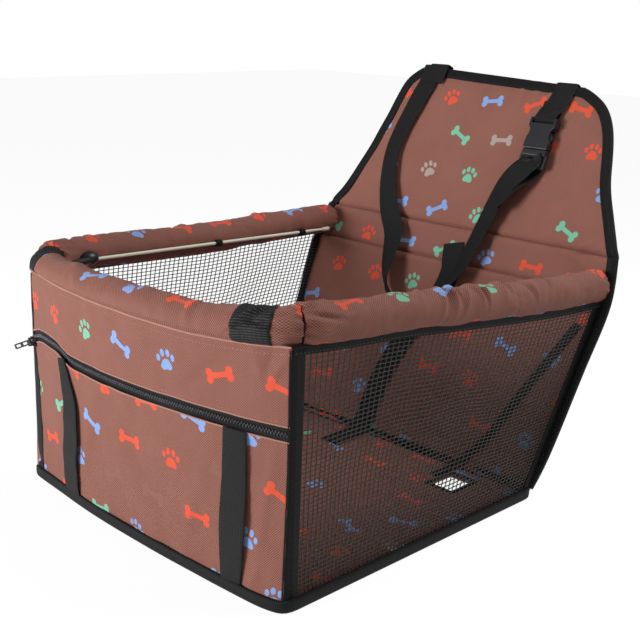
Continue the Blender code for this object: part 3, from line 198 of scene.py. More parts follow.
def finish_look(look, colour, height, strength, depth):
    """Join the colour and a relief of that depth to the look's shader."""
    tree = look.node_tree
    shader = tree.nodes["Principled BSDF"]
    relief = add(tree, "Bump", {"Strength": strength, "Distance": depth, "Height": height})
    tree.links.new(colour, shader.inputs["Base Color"])
    tree.links.new(relief, shader.inputs["Normal"])
    return look


def cloth_millimetres(tree):
    """The piece's own cloth map, in millimetres."""
    return add(tree, "VectorMath", {0: add(tree, "UVMap", uv_map="cloth"), 3: 1 / MM}, operation="SCALE")


def oxford_weave(tree, cloth, pitch):
    """Threads of a plain weave seen on the diagonal: from 0 in the gaps to 1 on the threads."""
    turns = add(tree, "VectorMath", {0: cloth, 3: 2 * math.pi / pitch}, operation="SCALE")
    parts = add(tree, "SeparateXYZ", (turns,)).node.outputs
    across = add(tree, "Math", (parts[0],), operation="SINE")
    along = add(tree, "Math", (parts[1],), operation="COSINE")
    crossed = add(tree, "Math", (across, along), operation="MULTIPLY")
    return add(tree, "Math", (crossed, 0.5, 0.5), operation="MULTIPLY_ADD")


def bone_distance(tree, spot):
    """Distance in mm from a bone's outline: a shank with two knobs at each end."""
    quarter = add(tree, "VectorMath", (spot,), operation="ABSOLUTE")
    past = add(tree, "VectorMath", (quarter, (9.0, 2.1, 0.0)), operation="SUBTRACT")
    parts = add(tree, "SeparateXYZ", (past,)).node.outputs
    shank = add(tree, "Math", (parts[0], parts[1]), operation="MAXIMUM")
    away = add(tree, "VectorMath", (quarter, (9.6, 2.7, 0.0)), "Value", operation="DISTANCE")
    knob = add(tree, "Math", (away, 3.2), operation="SUBTRACT")
    return add(tree, "Math", (shank, knob, 0.8), operation="SMOOTH_MIN")


def paw_distance(tree, spot):
    """Distance in mm from a paw print: a broad pad and its lobe below four toes, one half of it mirrored."""
    parts = add(tree, "SeparateXYZ", (spot,)).node.outputs
    side = add(tree, "Math", (parts[0],), operation="ABSOLUTE")
    half = add(tree, "CombineXYZ", (side, parts[1]))
    ovals = []
    for middle, radii in (((0.0, -3.4, 0.0), (4.6, 4.2, 1.0)), ((3.1, -5.2, 0.0), (3.0, 2.8, 1.0)),
                          ((2.9, 5.2, 0.0), (2.1, 3.0, 1.0)), ((7.6, 1.6, 0.0), (2.0, 2.8, 1.0))):
        away = add(tree, "VectorMath", (half, middle), operation="SUBTRACT")
        share = add(tree, "VectorMath", (away, radii), operation="DIVIDE")
        length = add(tree, "VectorMath", (share,), "Value", operation="LENGTH")
        over = add(tree, "Math", (length, 1.0), operation="SUBTRACT")
        ovals.append(add(tree, "Math", (over, min(radii[:2])), operation="MULTIPLY"))
    heel = add(tree, "Math", (ovals[0], ovals[1], 1.2), operation="SMOOTH_MIN")
    toes = add(tree, "Math", (ovals[2], ovals[3]), operation="MINIMUM")
    return add(tree, "Math", (heel, toes), operation="MINIMUM")


def print_layer(tree, cloth):
    """The share of ink at a point and the ink's colour. Every second row is set half a column over."""
    cells = add(tree, "VectorMath", (cloth, (PRINT_COLUMN, PRINT_ROW, 1.0)), operation="DIVIDE")
    parts = add(tree, "SeparateXYZ", (cells,)).node.outputs
    row = add(tree, "Math", (parts[1],), operation="FLOOR")
    odd = add(tree, "Math", (row, 2.0), operation="FLOORED_MODULO")
    across = add(tree, "Math", (odd, 0.5, parts[0]), operation="MULTIPLY_ADD")
    place = add(tree, "CombineXYZ", (across, parts[1]))
    cell = add(tree, "VectorMath", (place,), operation="FLOOR")
    dice = add(tree, "TexWhiteNoise", (cell,), "Color", noise_dimensions="2D")
    chances = add(tree, "SeparateColor", (dice,)).node.outputs
    inner = add(tree, "VectorMath", (place,), operation="FRACTION")
    centred = add(tree, "VectorMath", (inner, (0.5, 0.5, 0.0)), operation="SUBTRACT")
    size = (PRINT_COLUMN * PRINT_SCALE, PRINT_ROW * PRINT_SCALE, 0.0)
    spot = add(tree, "VectorMath", (centred, size), operation="MULTIPLY")
    lean = add(tree, "Math", (chances[0], 0.5), operation="SUBTRACT")
    tilt = add(tree, "Math", (lean, PRINT_TILT), operation="MULTIPLY")
    turned = add(tree, "VectorRotate", {"Vector": spot, "Angle": tilt}, rotation_type="Z_AXIS")
    kind = add(tree, "Math", (chances[1], PRINT_BONES), operation="GREATER_THAN")
    outline = add(tree, "Mix", {0: kind, 2: bone_distance(tree, turned), 3: paw_distance(tree, turned)})
    ink = add(tree, "MapRange", (outline, -INK_EDGE, INK_EDGE, 1.0, 0.0))
    palette = add(tree, "ValToRGB", (chances[2],))
    ramp = palette.node.color_ramp
    ramp.interpolation = "CONSTANT"
    while len(ramp.elements) < len(PRINT_COLOURS):
        ramp.elements.new(1.0)
    for stop, step, colour in zip(ramp.elements, PRINT_STEPS, PRINT_COLOURS):
        stop.position = step
        stop.color = linear_colour(colour)
    return ink, palette


def oxford_cloth(name, colour, shade, printed, depth):
    """Coated polyester oxford: a plain weave with a low sheen and soft, uneven dye, and ink that
    hides some of the weave where it is printed."""
    look, tree = new_look(name, Roughness=0.7, Sheen_Weight=0.06, Sheen_Roughness=0.5,
                          Specular_IOR_Level=0.25)
    cloth = cloth_millimetres(tree)
    # The real threads are 0.5 mm apart, too fine to show, so they are drawn 1.2 mm apart, two to a pitch
    weave = oxford_weave(tree, cloth, 2.4)
    # Dye clouds some 50 mm across, and the fuzz of the yarn drawn 2 mm across so that it shows
    cloudy = add(tree, "TexNoise", {"Vector": cloth, "Scale": 0.018, "Detail": 3.0, "Roughness": 0.6})
    grain = add(tree, "TexNoise", {"Vector": cloth, "Scale": 0.55, "Detail": 2.0, "Roughness": 0.6})
    base = add(tree, "Mix", {0: cloudy, 6: shade, 7: colour}, 2, data_type="RGBA")
    gaps = add(tree, "MapRange", (weave, 0.15, 0.8, depth, 0.0))
    if printed:
        ink, ink_colour = print_layer(tree, cloth)
        worn = add(tree, "Math", (ink, 0.95), operation="MULTIPLY")
        base = add(tree, "Mix", {0: worn, 6: base, 7: ink_colour}, 2, data_type="RGBA")
        bare = add(tree, "Math", (ink, -0.6, 1.0), operation="MULTIPLY_ADD")
        gaps = add(tree, "Math", (gaps, bare), operation="MULTIPLY")
    base = add(tree, "Mix", {0: gaps, 6: base, 7: "#3a1f19"}, 2, data_type="RGBA")
    light = add(tree, "MapRange", (grain, 0.35, 0.7, 0.0, 0.3))
    base = add(tree, "Mix", {0: light, 6: base, 7: "#e7c3b6"}, 2, data_type="RGBA", blend_type="SOFT_LIGHT")
    raised = add(tree, "Math", (grain, 0.35, weave), operation="MULTIPLY_ADD")
    return finish_look(look, base, raised, 0.5, 0.6 * MM)


def ribbed_weave(name, colour, glint, pitch, row):
    """A black woven or knitted band: cross ribs at a pitch, in rows, with their crests painted lighter as a
    highlight, and some lint.
    """
    look, tree = new_look(name, Roughness=0.6, Specular_IOR_Level=0.16)
    cloth = cloth_millimetres(tree)
    turns = (2 * math.pi / row, 2 * math.pi / pitch, 0.0)
    turned = add(tree, "VectorMath", (cloth, turns), operation="MULTIPLY")
    parts = add(tree, "SeparateXYZ", (turned,)).node.outputs
    rows = add(tree, "Math", (parts[0],), operation="SINE")
    ribs = add(tree, "Math", (parts[1],), operation="SINE")
    crossed = add(tree, "Math", (rows, ribs), operation="MULTIPLY")
    height = add(tree, "Math", (crossed, 0.8, ribs), operation="MULTIPLY_ADD")
    # Painted highlight: the rib crests are mixed towards the glint colour
    share = add(tree, "MapRange", (height, -0.6, 1.4, 0.0, 0.7))
    base = add(tree, "Mix", {0: share, 6: colour, 7: glint}, 2, data_type="RGBA")
    lint = add(tree, "TexNoise", {"Vector": cloth, "Scale": 0.7, "Detail": 2.0, "Roughness": 0.6})
    thin = add(tree, "Math", (lint, 0.12), operation="MULTIPLY")
    base = add(tree, "Mix", {0: thin, 6: base, 7: "#3a3839"}, 2, data_type="RGBA")
    return finish_look(look, base, height, 0.6, 0.3 * MM)


def knitted_net():
    """Knitted polyester net: black filament cords with short glints painted on them as highlights."""
    look, tree = new_look("knitted_net", Roughness=0.5, Specular_IOR_Level=0.3)
    cloth = cloth_millimetres(tree)
    # The loops of such a knit are about 0.4 mm apart, drawn 0.8 mm apart so that they show, two to a pitch
    twist = oxford_weave(tree, cloth, 1.6)
    glint_patches = add(tree, "TexNoise", {"Vector": cloth, "Scale": 0.3, "Detail": 2.0})
    # Painted highlight: the cords turn grey in patches, along the twist of the knit
    glints = add(tree, "MapRange", (glint_patches, 0.3, 0.7, 0.5, 1.0))
    share = add(tree, "Math", (twist, glints), operation="MULTIPLY")
    base = add(tree, "Mix", {0: share, 6: "#0c0c0c", 7: "#5f5c58"}, 2, data_type="RGBA")
    return finish_look(look, base, twist, 0.5, 0.3 * MM)


def glass_fibre_rod():
    """Pultruded glass fibre rod: off-white and smooth, with faint streaks of fibre along it."""
    look, tree = new_look("glass_fibre_rod", Roughness=0.35)
    # Fibre bundles are 0.8 mm apart round the rod and run on for about 30 mm
    drawn = add(tree, "Mapping", {"Vector": cloth_millimetres(tree), "Scale": (1.2, 0.03, 1.0)})
    streaks = add(tree, "TexNoise", {"Vector": drawn, "Scale": 1.0, "Detail": 3.0})
    base = add(tree, "Mix", {0: streaks, 6: "#c9c4ae", 7: "#f1eede"}, 2, data_type="RGBA")
    return finish_look(look, base, streaks, 0.1, 0.1 * MM)


def moulded_acetal():
    """Moulded acetal: black, with fine spark-eroded grain that dulls its highlights."""
    look, tree = new_look("moulded_acetal", Roughness=0.38, Specular_IOR_Level=0.5)
    place = add(tree, "TexCoord", (), "Object")
    # Spark grain is about 0.05 mm, drawn at 0.8 mm so that it shows
    grain = add(tree, "TexNoise", {"Vector": place, "Scale": 1 / (0.8 * MM), "Detail": 2.0})
    cloudy = add(tree, "TexNoise", {"Vector": place, "Scale": 90.0, "Detail": 2.0})
    base = add(tree, "Mix", {0: cloudy, 6: "#131417", 7: "#212226"}, 2, data_type="RGBA")
    dulled = add(tree, "MapRange", (grain, 0.0, 1.0, 0.3, 0.5))
    tree.links.new(dulled, tree.nodes["Principled BSDF"].inputs["Roughness"])
    return finish_look(look, base, grain, 0.15, 0.2 * MM)


def spotted_look(name, shade, colour, pitch, strength, depth, detail=2.0, reach=(0.0, 1.0, 1.0), **values):
    """A smooth material lighter in spots of that pitch: reach is where the lighter colour starts
    and ends in the noise, and how far it covers."""
    look, tree = new_look(name, **values)
    place = add(tree, "TexCoord", (), "Object")
    pale_spots = add(tree, "TexNoise", {"Vector": place, "Scale": 1 / pitch, "Detail": detail})
    share = add(tree, "MapRange", (pale_spots, reach[0], reach[1], 0.0, reach[2]))
    base = add(tree, "Mix", {0: share, 6: shade, 7: colour}, 2, data_type="RGBA")
    return finish_look(look, base, pale_spots, strength, depth)


def make_looks():
    """Every material of the seat, under its short name."""
    return {
        # Oxford of the pocket, the rolls and the floor, printed, with its weave plain to see
        "printed": oxford_cloth("brown_oxford_print", "#a97163", "#986355", True, 0.85),
        # The same cloth on the padded back, where it is pressed smoother and a little duller
        "back": oxford_cloth("brown_oxford_back_print", "#a36e61", "#936154", True, 0.5),
        # The unprinted lining, darker because its coated side shows
        "lining": oxford_cloth("brown_oxford_plain", "#8a5849", "#7a4c3f", False, 0.6),
        # The folded edges, painted pale as a highlight along each fold
        "fold": oxford_cloth("brown_oxford_fold_highlight", "#bd8f80", "#a97a6b", False, 0.3),
        # Woven polypropylene webbing: close ribs of 1.9 mm with a dull painted shine on their crests
        "webbing": ribbed_weave("polypropylene_webbing", "#0d0d0e", "#2b2b2d", 1.9, 3.4),
        # Grosgrain binding tape: ribs of 1.7 mm right across, dull, with a faint painted highlight on their
        # crests
        "tape": ribbed_weave("grosgrain_tape", "#0b0b0c", "#242426", 1.7, 9.0),
        # Knitted elastic: broad ribs of 2.4 mm with crests painted greyer as a highlight
        "elastic": ribbed_weave("knitted_elastic", "#0d0d0e", "#4a4a4d", 2.4, 4.0),
        # Woven zip tape: real ribs of 0.5 mm, drawn at 1.5 mm so that they show, with a painted highlight on
        # their crests
        "zip_tape": ribbed_weave("zip_tape_weave", "#111113", "#2a2a2e", 1.5, 2.2),
        "net": knitted_net(),
        "rod": glass_fibre_rod(),
        "acetal": moulded_acetal(),
        # Nylon monofilament of the coil: smooth, with painted glints that make it greyer in spots of 4 mm
        "coil": spotted_look("nylon_coil", "#232427", "#8b8c91", MM / 0.26, 0.2, 0.1 * MM,
                            Roughness=0.35),
        # Die-cast zinc with dark enamel, worn bright in spots of 2.4 mm
        "zinc": spotted_look("die_cast_zinc", "#4a4b4e", "#a3a4a6", MM / 0.42, 0.1, 0.2 * MM, 3.0,
                            (0.5, 0.75, 0.6), Metallic=0.75, Roughness=0.32),
        # Spun polyester thread in the cloth's colour: matt, its plies drawn 1.25 mm long so that they show
        "brown_thread": spotted_look("brown_thread", "#8a5f52", "#b98877", 1.25 * MM, 0.3, 0.2 * MM,
                                    Roughness=0.7, Sheen_Weight=0.2),
        # The same thread in grey, on the net's tape
        "grey_thread": spotted_look("grey_thread", "#4e4b47", "#77736d", 1.25 * MM, 0.3, 0.2 * MM,
                                   Roughness=0.7, Sheen_Weight=0.2),
    }


def eased(table, place):
    """A table's value at a place, with its corners softened."""
    reach = (table[-1][0] - table[0][0]) / 40
    total = 0
    for step in (-1, -0.5, 0, 0.5, 1):
        at = min(max(place + step * reach, table[0][0]), table[-1][0])
        for (low, first), (high, second) in zip(table, table[1:]):
            if at <= high:
                total += first + (second - first) * (at - low) / (high - low)
                break
    return total / 5


def bell(distance, reach):
    """1 at no distance, falling away smoothly within a reach."""
    return math.exp(-(distance / reach) ** 2)


def spread(reach, steps):
    """Evenly spaced values from minus the reach to the reach."""
    return [reach * (2 * i / steps - 1) for i in range(steps + 1)]


def ripple(x, y, scale, height):
    """Soft unevenness of cloth, from still noise; x, y and scale in metres."""
    return noise.noise(Vector((x / scale, y / scale, scale * 1000))) * height


def folds(table, x, y):
    """Height of a table of single folds at a place."""
    total = 0
    for place_x, place_y, turn, long, wide, high in table:
        across = x / MM - place_x
        up = y / MM - place_y
        if abs(across) + abs(up) > 3 * (long + wide):
            continue
        along = (across * math.cos(turn * DEG) + up * math.sin(turn * DEG)) / long
        beside = (up * math.cos(turn * DEG) - across * math.sin(turn * DEG)) / wide
        total += high * math.exp(-along * along - beside * beside)
    return total * MM


def along_points(points, share):
    """A point that far along a row of points, by a smooth curve through them."""
    last = len(points) - 1
    whole = min(max(share, 0), 1) * last
    i = min(int(whole), last - 1)
    t = whole - i
    spots = [Vector(points[min(max(i + step, 0), last)]) for step in (-1, 0, 1, 2)]
    curve = 2 * spots[0] - 5 * spots[1] + 4 * spots[2] - spots[3]
    curve = curve + t * (3 * (spots[1] - spots[2]) + spots[3] - spots[0])
    return spots[1] + 0.5 * t * (spots[2] - spots[0] + t * curve)


def along_values(values, share):
    """A value that far along a row of values, by the same smooth curve."""
    return along_points([(value, 0, 0) for value in values], share).x


def evenly(points, step):
    """Points spaced evenly along a line."""
    lengths = [0]
    for a, b in zip(points, points[1:]):
        lengths.append(lengths[-1] + (b - a).length)
    count = max(2, round(lengths[-1] / step))
    result = []
    i = 0
    for n in range(count + 1):
        target = lengths[-1] * n / count
        while i < len(points) - 2 and lengths[i + 1] < target:
            i += 1
        share = (target - lengths[i]) / max(lengths[i + 1] - lengths[i], GAP / 1000)
        result.append(points[i].lerp(points[i + 1], share))
    return result


def front_arc(z):
    """Radius and middle of the front's bow, which grows from the base to the rim."""
    bow = BASE_BOW + (FRONT_BOW - BASE_BOW) * z / RIM_HEIGHT
    radius = (HALF_WIDTH ** 2 + bow ** 2) / (2 * bow)
    return radius, FRONT_Y + radius - bow


def left_pull(z, away):
    """How far the cloth is drawn in at a distance from the left corner."""
    return eased(LEFT_PULL, z / MM) * MM * bell(away, PULL_REACH)


def front_point(x, z, out):
    """A point of the bowed front, with the base pushed out and the left corner drawn in."""
    radius, middle_y = front_arc(z)
    x += left_pull(z, x + HALF_WIDTH)
    out += eased(BASE_PUSH, x / MM) * MM * max(0, 1 - z / PUSH_HEIGHT)
    turn = math.asin(x / radius)
    return Vector(((radius + out) * math.sin(turn), middle_y - (radius + out) * math.cos(turn), z))


def outward(point):
    """The way out of the front, level."""
    middle_y = front_arc(min(max(point.z, 0), RIM_HEIGHT))[1]
    return Vector((point.x, point.y - middle_y, 0)).normalized()


def back_point(u, s, off):
    """A point of the leaning back: u runs across, s up it, and off stands in front of it."""
    y = REAR_Y + s * math.sin(BACK_LEAN) - off * math.cos(BACK_LEAN)
    return Vector((u, y, FLOOR_THICKNESS + s * math.cos(BACK_LEAN) + off * math.sin(BACK_LEAN)))


def back_y(z, off):
    """Where a plane that far in front of the back stands at a height."""
    return REAR_Y + (z - FLOOR_THICKNESS) * math.tan(BACK_LEAN) - off / math.cos(BACK_LEAN)


def rim_rear_point():
    """Where the middle of the right roll meets the back."""
    z = back_point(0, (LOWER_CREASE + UPPER_CREASE) / 2, SEAT_OFF).z
    return Vector((HALF_WIDTH + SIDE_FLARE - ROLL_INSET, back_y(z, SEAT_OFF), z))


def side_sag(sign, along):
    """How far a side's rim hangs above or below a straight line."""
    return eased(RIGHT_SAG if sign > 0 else LEFT_SAG, along) * MM


def side_point(sign, along, up, out):
    """A point of a net side: along runs to the back and up to the rim."""
    hem_rear = rim_rear_point().z - HEM_DROP
    low_y = FRONT_Y + (back_y(WALL_FOOT, SEAT_OFF) - FRONT_Y) * along
    high_z = HEM_HEIGHT + (hem_rear - HEM_HEIGHT) * along + side_sag(sign, along)
    high_y = FRONT_Y + (back_y(high_z, SEAT_OFF) - FRONT_Y) * along
    x = HALF_WIDTH + SIDE_FLARE * along * up + out
    z = WALL_FOOT + (high_z - WALL_FOOT) * up
    if sign < 0:
        x -= left_pull(z, 400 * MM * along)
    return Vector((sign * x, low_y + (high_y - low_y) * up, z))


class RimLine:
    """One corner of the rim: the bowed front line, a fillet, and the side line."""

    def __init__(self, sign, inward, down, fillet):
        self.sign = sign
        self.inward = inward
        self.down = down
        rear = rim_rear_point()
        self.corner = self.on_front(HALF_WIDTH - ROLL_INSET - inward)
        self.rear = Vector((sign * (rear.x - inward), back_y(rear.z - down, SEAT_OFF), rear.z - down))
        self.side_along = (self.rear - self.corner).normalized()
        self.front_end = self.on_front(abs(self.corner.x) - fillet)
        self.side_start = self.corner + self.side_along * fillet

    def on_front(self, x):
        """A point of the front line."""
        radius, middle_y = front_arc(RIM_HEIGHT)
        y = middle_y - math.sqrt((radius - ROLL_INSET - self.inward) ** 2 - x ** 2)
        return Vector((self.sign * x, y, RIM_HEIGHT - self.down))

    def on_side(self, run):
        """A point of the side line, that far from the corner."""
        return self.corner + self.side_along * run

    def bend(self, shares):
        """Points of the fillet, from the front line at 0 to the side line at 1."""
        return [self.front_end * (1 - t) ** 2 + self.corner * 2 * t * (1 - t) + self.side_start * t ** 2
                for t in shares]


SIDES = {"left": -1, "right": 1}
ROLL_LINES = {side: RimLine(sign, 0, 0, CORNER_FILLET) for side, sign in SIDES.items()}
ROD_LINES = {side: RimLine(sign, ROD_INWARD, ROD_DOWN, ROD_FILLET) for side, sign in SIDES.items()}
BACK_NORMAL = Vector((0, -math.cos(BACK_LEAN), math.sin(BACK_LEAN)))


def placed_object(name, data):
    """An object of that data, in the scene."""
    made = bpy.data.objects.new(name, data)
    bpy.context.scene.collection.objects.link(made)
    return made


def finish_mesh(name, bm, look, body, sharp=None):
    """Make a smooth-shaded object of a bmesh and let it ride on a body."""
    mesh = bpy.data.meshes.new(name)
    bm.to_mesh(mesh)
    bm.free()
    mesh.materials.append(look)
    mesh.shade_smooth()
    if sharp is not None:
        mesh.set_sharp_from_angle(angle=sharp * DEG)
    made = placed_object(name, mesh)
    if body is not None:
        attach(made, body)
    return made


def thicken(made, thick, offset=-1):
    """Give a sheet its thickness: behind its face, or half on each side with an offset of 0."""
    shell = made.modifiers.new("thickness", "SOLIDIFY")
    shell.thickness = thick
    shell.offset = offset


def laid_grid(cols, rows, place):
    """A grid bent into shape: place gives each share pair its point and cloth map."""
    bm = bmesh.new()
    bmesh.ops.create_grid(bm, x_segments=cols, y_segments=rows, size=0.5)
    layer = bm.loops.layers.uv.new("cloth")
    spots = {vert: place(vert.co.x + 0.5, vert.co.y + 0.5) for vert in bm.verts}
    for face in bm.faces:
        for loop in face.loops:
            loop[layer].uv = spots[loop.vert][1]
    for vert, spot in spots.items():
        vert.co = spot[0]
    return bm


def cloth_piece(name, look, cols, rows, place, thick, body="basket"):
    """A sheet of cloth with thickness behind its outer face."""
    made = finish_mesh(name, laid_grid(cols, rows, place), look, body)
    thicken(made, thick)
    return made


def tube_piece(name, look, cols, rows, place, body="basket", ring=False):
    """A closed tube: the grid's columns go round it and its rows along it."""
    bm = laid_grid(cols, rows, place)
    bmesh.ops.remove_doubles(bm, verts=bm.verts, dist=MM / 500)
    if not ring:
        ends = [edge for edge in bm.edges if edge.is_boundary]
        bmesh.ops.holes_fill(bm, edges=ends, sides=0)
    bmesh.ops.recalc_face_normals(bm, faces=bm.faces)
    return finish_mesh(name, bm, look, body, 50)


def rounded(value, power):
    """A sine or cosine raised to a power with its sign kept, which squares up a round section."""
    return math.copysign(abs(value) ** power, value)


def line_frames(points, normals, ring):
    """At each point of a line: the point, the distance so far, the way across and the way up."""
    frames = []
    run = 0
    last = len(points) - 1
    for i, point in enumerate(points):
        before = points[i - 1] if i > 0 else (points[last - 1] if ring else point)
        after = points[i + 1] if i < last else (points[1] if ring else point)
        along = (after - before).normalized()
        across = along.cross(normals[i]).normalized()
        frames.append((point, run, across, across.cross(along).normalized()))
        if i < last:
            run += (points[i + 1] - point).length
    return frames


def ribbon(name, look, points, normals, width, thick, body="basket", ring=False, square=0.3):
    """Tape or webbing with rounded edges, laid along points with their face directions."""
    frames = line_frames(points, normals, ring)
    rows = len(points) - 1

    def place(a, b):
        point, run, across, up = frames[round(b * rows)]
        turn = 2 * math.pi * a
        wide = rounded(math.cos(turn), square) * (width(b) if callable(width) else width) / 2
        high = rounded(math.sin(turn), 0.75) * thick / 2
        return point + across * wide + up * high, (wide, run)

    return tube_piece(name, look, 20, rows, place, body, ring)


def rod_piece(name, look, points, radius, body, sides=20):
    """A round bar along points, with softened ends."""
    frames = line_frames(points, [UPRIGHT] * len(points), False)
    last = len(points) - 1

    def place(a, b):
        i = round(b * last)
        point, run, across, up = frames[i]
        turn = 2 * math.pi * a
        size = radius * (0.8 if i in (0, last) else 1)
        return point + across * math.cos(turn) * size + up * math.sin(turn) * size, (turn * radius, run)

    return tube_piece(name, look, sides, last, place, body)


def placing(axes, middle):
    """The matrix that turns a shape to three axes and moves it to a point."""
    matrix = Matrix(axes).transposed().to_4x4()
    matrix.translation = middle
    return matrix


def bead(bm, axes, middle, size):
    """A small oval bead with a size along each of three axes."""
    matrix = placing(axes, middle) @ Matrix.Diagonal((*size, 1))
    bmesh.ops.create_icosphere(bm, subdivisions=1, radius=0.5, matrix=matrix)


def stitching(name, look, lines, pitch, size):
    """Rows of stitches: each is a small oval bead that lies along its line."""
    bm = bmesh.new()
    for points, normal_at in lines:
        spots = evenly(points, pitch)
        for first, second in zip(spots, spots[1:]):
            middle = (first + second) / 2
            along = (second - first).normalized()
            across = along.cross(normal_at(middle)).normalized()
            bead(bm, (along, across, across.cross(along)), middle, size)
    return finish_mesh(name, bm, look, "basket")


def zip_z(x):
    """Height of the zip's middle, which waves."""
    return ZIP_HEIGHT + eased(ZIP_LIFT, x / MM) * MM


def above_zip(x):
    """Height of the upper panel's folded edge."""
    return zip_z(x) + ZIP_HALF


def below_zip(x):
    """Height of the lower panel's folded edge."""
    return zip_z(x) - ZIP_HALF


def hem_z(x):
    """Height of the pocket's hem."""
    return HEM_HEIGHT + eased(HEM_RISE, x / MM) * MM


def pocket_out(x, z):
    """The pocket's soft fullness over the wall."""
    up = min(max(z / HEM_HEIGHT, 0), 1)
    fullness = 1.6 * MM * math.sin(math.pi * up) * (1 - (x / HALF_WIDTH) ** 4)
    swells = ripple(x, z, 46 * MM, 1.6 * MM) + ripple(x + 1, z, 18 * MM, 0.6 * MM)
    return 1.8 * MM + fullness + swells + folds(POCKET_FOLDS, x, z)


def make_pocket(cloth, fold, thread):
    """The front pocket: a panel above the zip and one below, with folded edges and stitches."""
    reach = HALF_WIDTH - 1.2 * MM
    xs = spread(reach, 120)

    def panel(low, high, from_fold):
        def place(a, b):
            x = reach * (2 * a - 1)
            z = low(x) + (high(x) - low(x)) * b
            out = pocket_out(x, z) + 0.8 * MM * bell(from_fold(b), 3 * MM)
            return front_point(x, z, out), (x + 0.03, z + 0.012)
        return place

    def line(height, shift, out):
        spots = [(x, height(x) + shift) for x in xs]
        return [front_point(x, z, pocket_out(x, z) + out) for x, z in spots]

    upper = panel(above_zip, hem_z, lambda b: b * 80 * MM)
    top_cloth = cloth_piece("pocket_upper_cloth", cloth, 130, 26, upper, 1.2 * MM)
    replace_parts(top_cloth, "pocket_upper_panel")
    lower = panel(lambda x: GAP, below_zip, lambda b: (1 - b) * 150 * MM)
    low_cloth = cloth_piece("pocket_lower_cloth", cloth, 130, 46, lower, 1.2 * MM)
    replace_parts(low_cloth, "pocket_lower_panel")
    # Where the cloth is folded over it is thicker, and the fold's pale cloth is a painted highlight
    for name, height, radius in (("hem_fold", hem_z, 1.1 * MM), ("zip_fold_upper", above_zip, 0.8 * MM),
                                 ("zip_fold_lower", below_zip, 0.8 * MM)):
        rod_piece(name, fold, line(height, 0, 0.4 * MM), radius, "basket", 10)
    rows = [(line(height, shift, 0.1 * MM), outward)
            for height, shift in ((hem_z, -7 * MM), (above_zip, 3 * MM), (below_zip, -3 * MM))]
    stitching("pocket_stitches", thread, rows, 4.2 * MM, (2.8 * MM, 0.6 * MM, 0.45 * MM))


def make_liner(cloth):
    """The plain cloth inside the front, from the floor to the rim."""
    def place(a, b):
        x = (HALF_WIDTH - 1.5 * MM) * (1 - 2 * a)
        z = WALL_FOOT + (HEM_HEIGHT - WALL_FOOT) * b
        return front_point(x, z, -WALL_THICKNESS + ripple(x, z, 50 * MM, 0.8 * MM)), (x, z)

    liner = cloth_piece("front_liner", cloth, 80, 36, place, 2.2 * MM)
    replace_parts(liner, "front_wall")


def make_zip(tape, teeth, metal):
    """Two woven tapes and the interlocked coil between them."""
    reach = HALF_WIDTH - 1.5 * MM
    for sign, name, node in ((-1, "zip_tape_lower_cloth", "zip_tape_lower"),
                             (1, "zip_tape_upper_cloth", "zip_tape_upper")):
        def place(a, b, sign=sign):
            x = reach * (2 * a - 1)
            away = (0.4 + 8.6 * (b if sign > 0 else 1 - b)) * MM
            out = 1.3 * MM + 0.5 * MM * math.sin(math.pi * away / (9 * MM))
            return front_point(x, zip_z(x) + sign * away, out), (away, x)

        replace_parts(cloth_piece(name, tape, 120, 8, place, 0.9 * MM), node)
    line = evenly([front_point(x, zip_z(x), 2.4 * MM) for x in spread(reach, 400)], 1.7 * MM)
    bm = bmesh.new()
    for i in range(1, len(line) - 1):
        along = (line[i + 1] - line[i - 1]).normalized()
        out = outward(line[i])
        up = out.cross(along)
        side = 0.9 * MM if i % 2 else -0.9 * MM
        bead(bm, (along, up, out), line[i] + up * side, (1.15 * MM, 2.9 * MM, 2.1 * MM))
    coil = finish_mesh("zip_teeth", bm, teeth, "basket")
    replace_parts(coil, "zip_coil")
    dress("zip_slider", metal)
    make_pull(metal)


def make_pull(metal):
    """The slider's tab: a thin plate with two windows that hangs a little from its pin."""
    radius, middle_y = front_arc(ZIP_HEIGHT)
    turn = -math.asin((HALF_WIDTH - SLIDER_FROM_END) / radius)
    along = Vector((math.cos(turn), math.sin(turn), 0))
    out = Vector((math.sin(turn), -math.cos(turn), 0))
    pin = Vector((0, middle_y, ZIP_HEIGHT)) + out * (radius + PULL_PIN_OUT)
    away = -along * math.cos(64 * DEG) + out * math.sin(64 * DEG)
    face = Vector((-away.y, away.x, 0))
    hung = (away * math.cos(20 * DEG) - UPRIGHT * math.sin(20 * DEG)).normalized()
    # Where the plate's grid lines lie, in mm from the pin and from its middle line
    lengths = (1.2, 3.2, 7.6, 10.6, 15.4, 17.4)
    heights = (-3, -1.5, 1.5, 3)

    def place(a, b):
        x = lengths[round(a * 5)]
        y = heights[round(b * 3)] * (0.86 if a > 0.99 or a < 0.01 else 1)
        return Vector((x, y, 0.7)) * MM, (x * MM, y * MM)

    def in_window(spot):
        return abs(spot.y) < 1 * MM and min(abs(spot.x - 5.4 * MM), abs(spot.x - 13 * MM)) < 1 * MM

    bm = laid_grid(5, 3, place)
    bm.normal_update()
    windows = [face for face in bm.faces if in_window(face.calc_center_median())]
    bmesh.ops.delete(bm, geom=windows, context="FACES")
    bmesh.ops.solidify(bm, geom=bm.faces[:], thickness=1.4 * MM)
    bmesh.ops.recalc_face_normals(bm, faces=bm.faces)
    edges = [edge for edge in bm.edges if len(edge.link_faces) == 2 and edge.calc_face_angle() > 0.9]
    bmesh.ops.bevel(bm, geom=edges, offset=0.35 * MM, segments=2, profile=0.5, affect="EDGES", material=-1)
    # The knuckle that goes round the pin
    bmesh.ops.create_cone(bm, cap_ends=True, segments=20, radius1=1.9 * MM, radius2=1.9 * MM, depth=6 * MM,
                          matrix=Matrix.Rotation(90 * DEG, 4, "X"))
    bmesh.ops.transform(bm, matrix=placing((hung, hung.cross(face), face), pin), verts=bm.verts)
    bmesh.ops.recalc_face_normals(bm, faces=bm.faces)
    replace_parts(finish_mesh("zip_pull_tab", bm, metal, "pull", 40), "zip_pull")


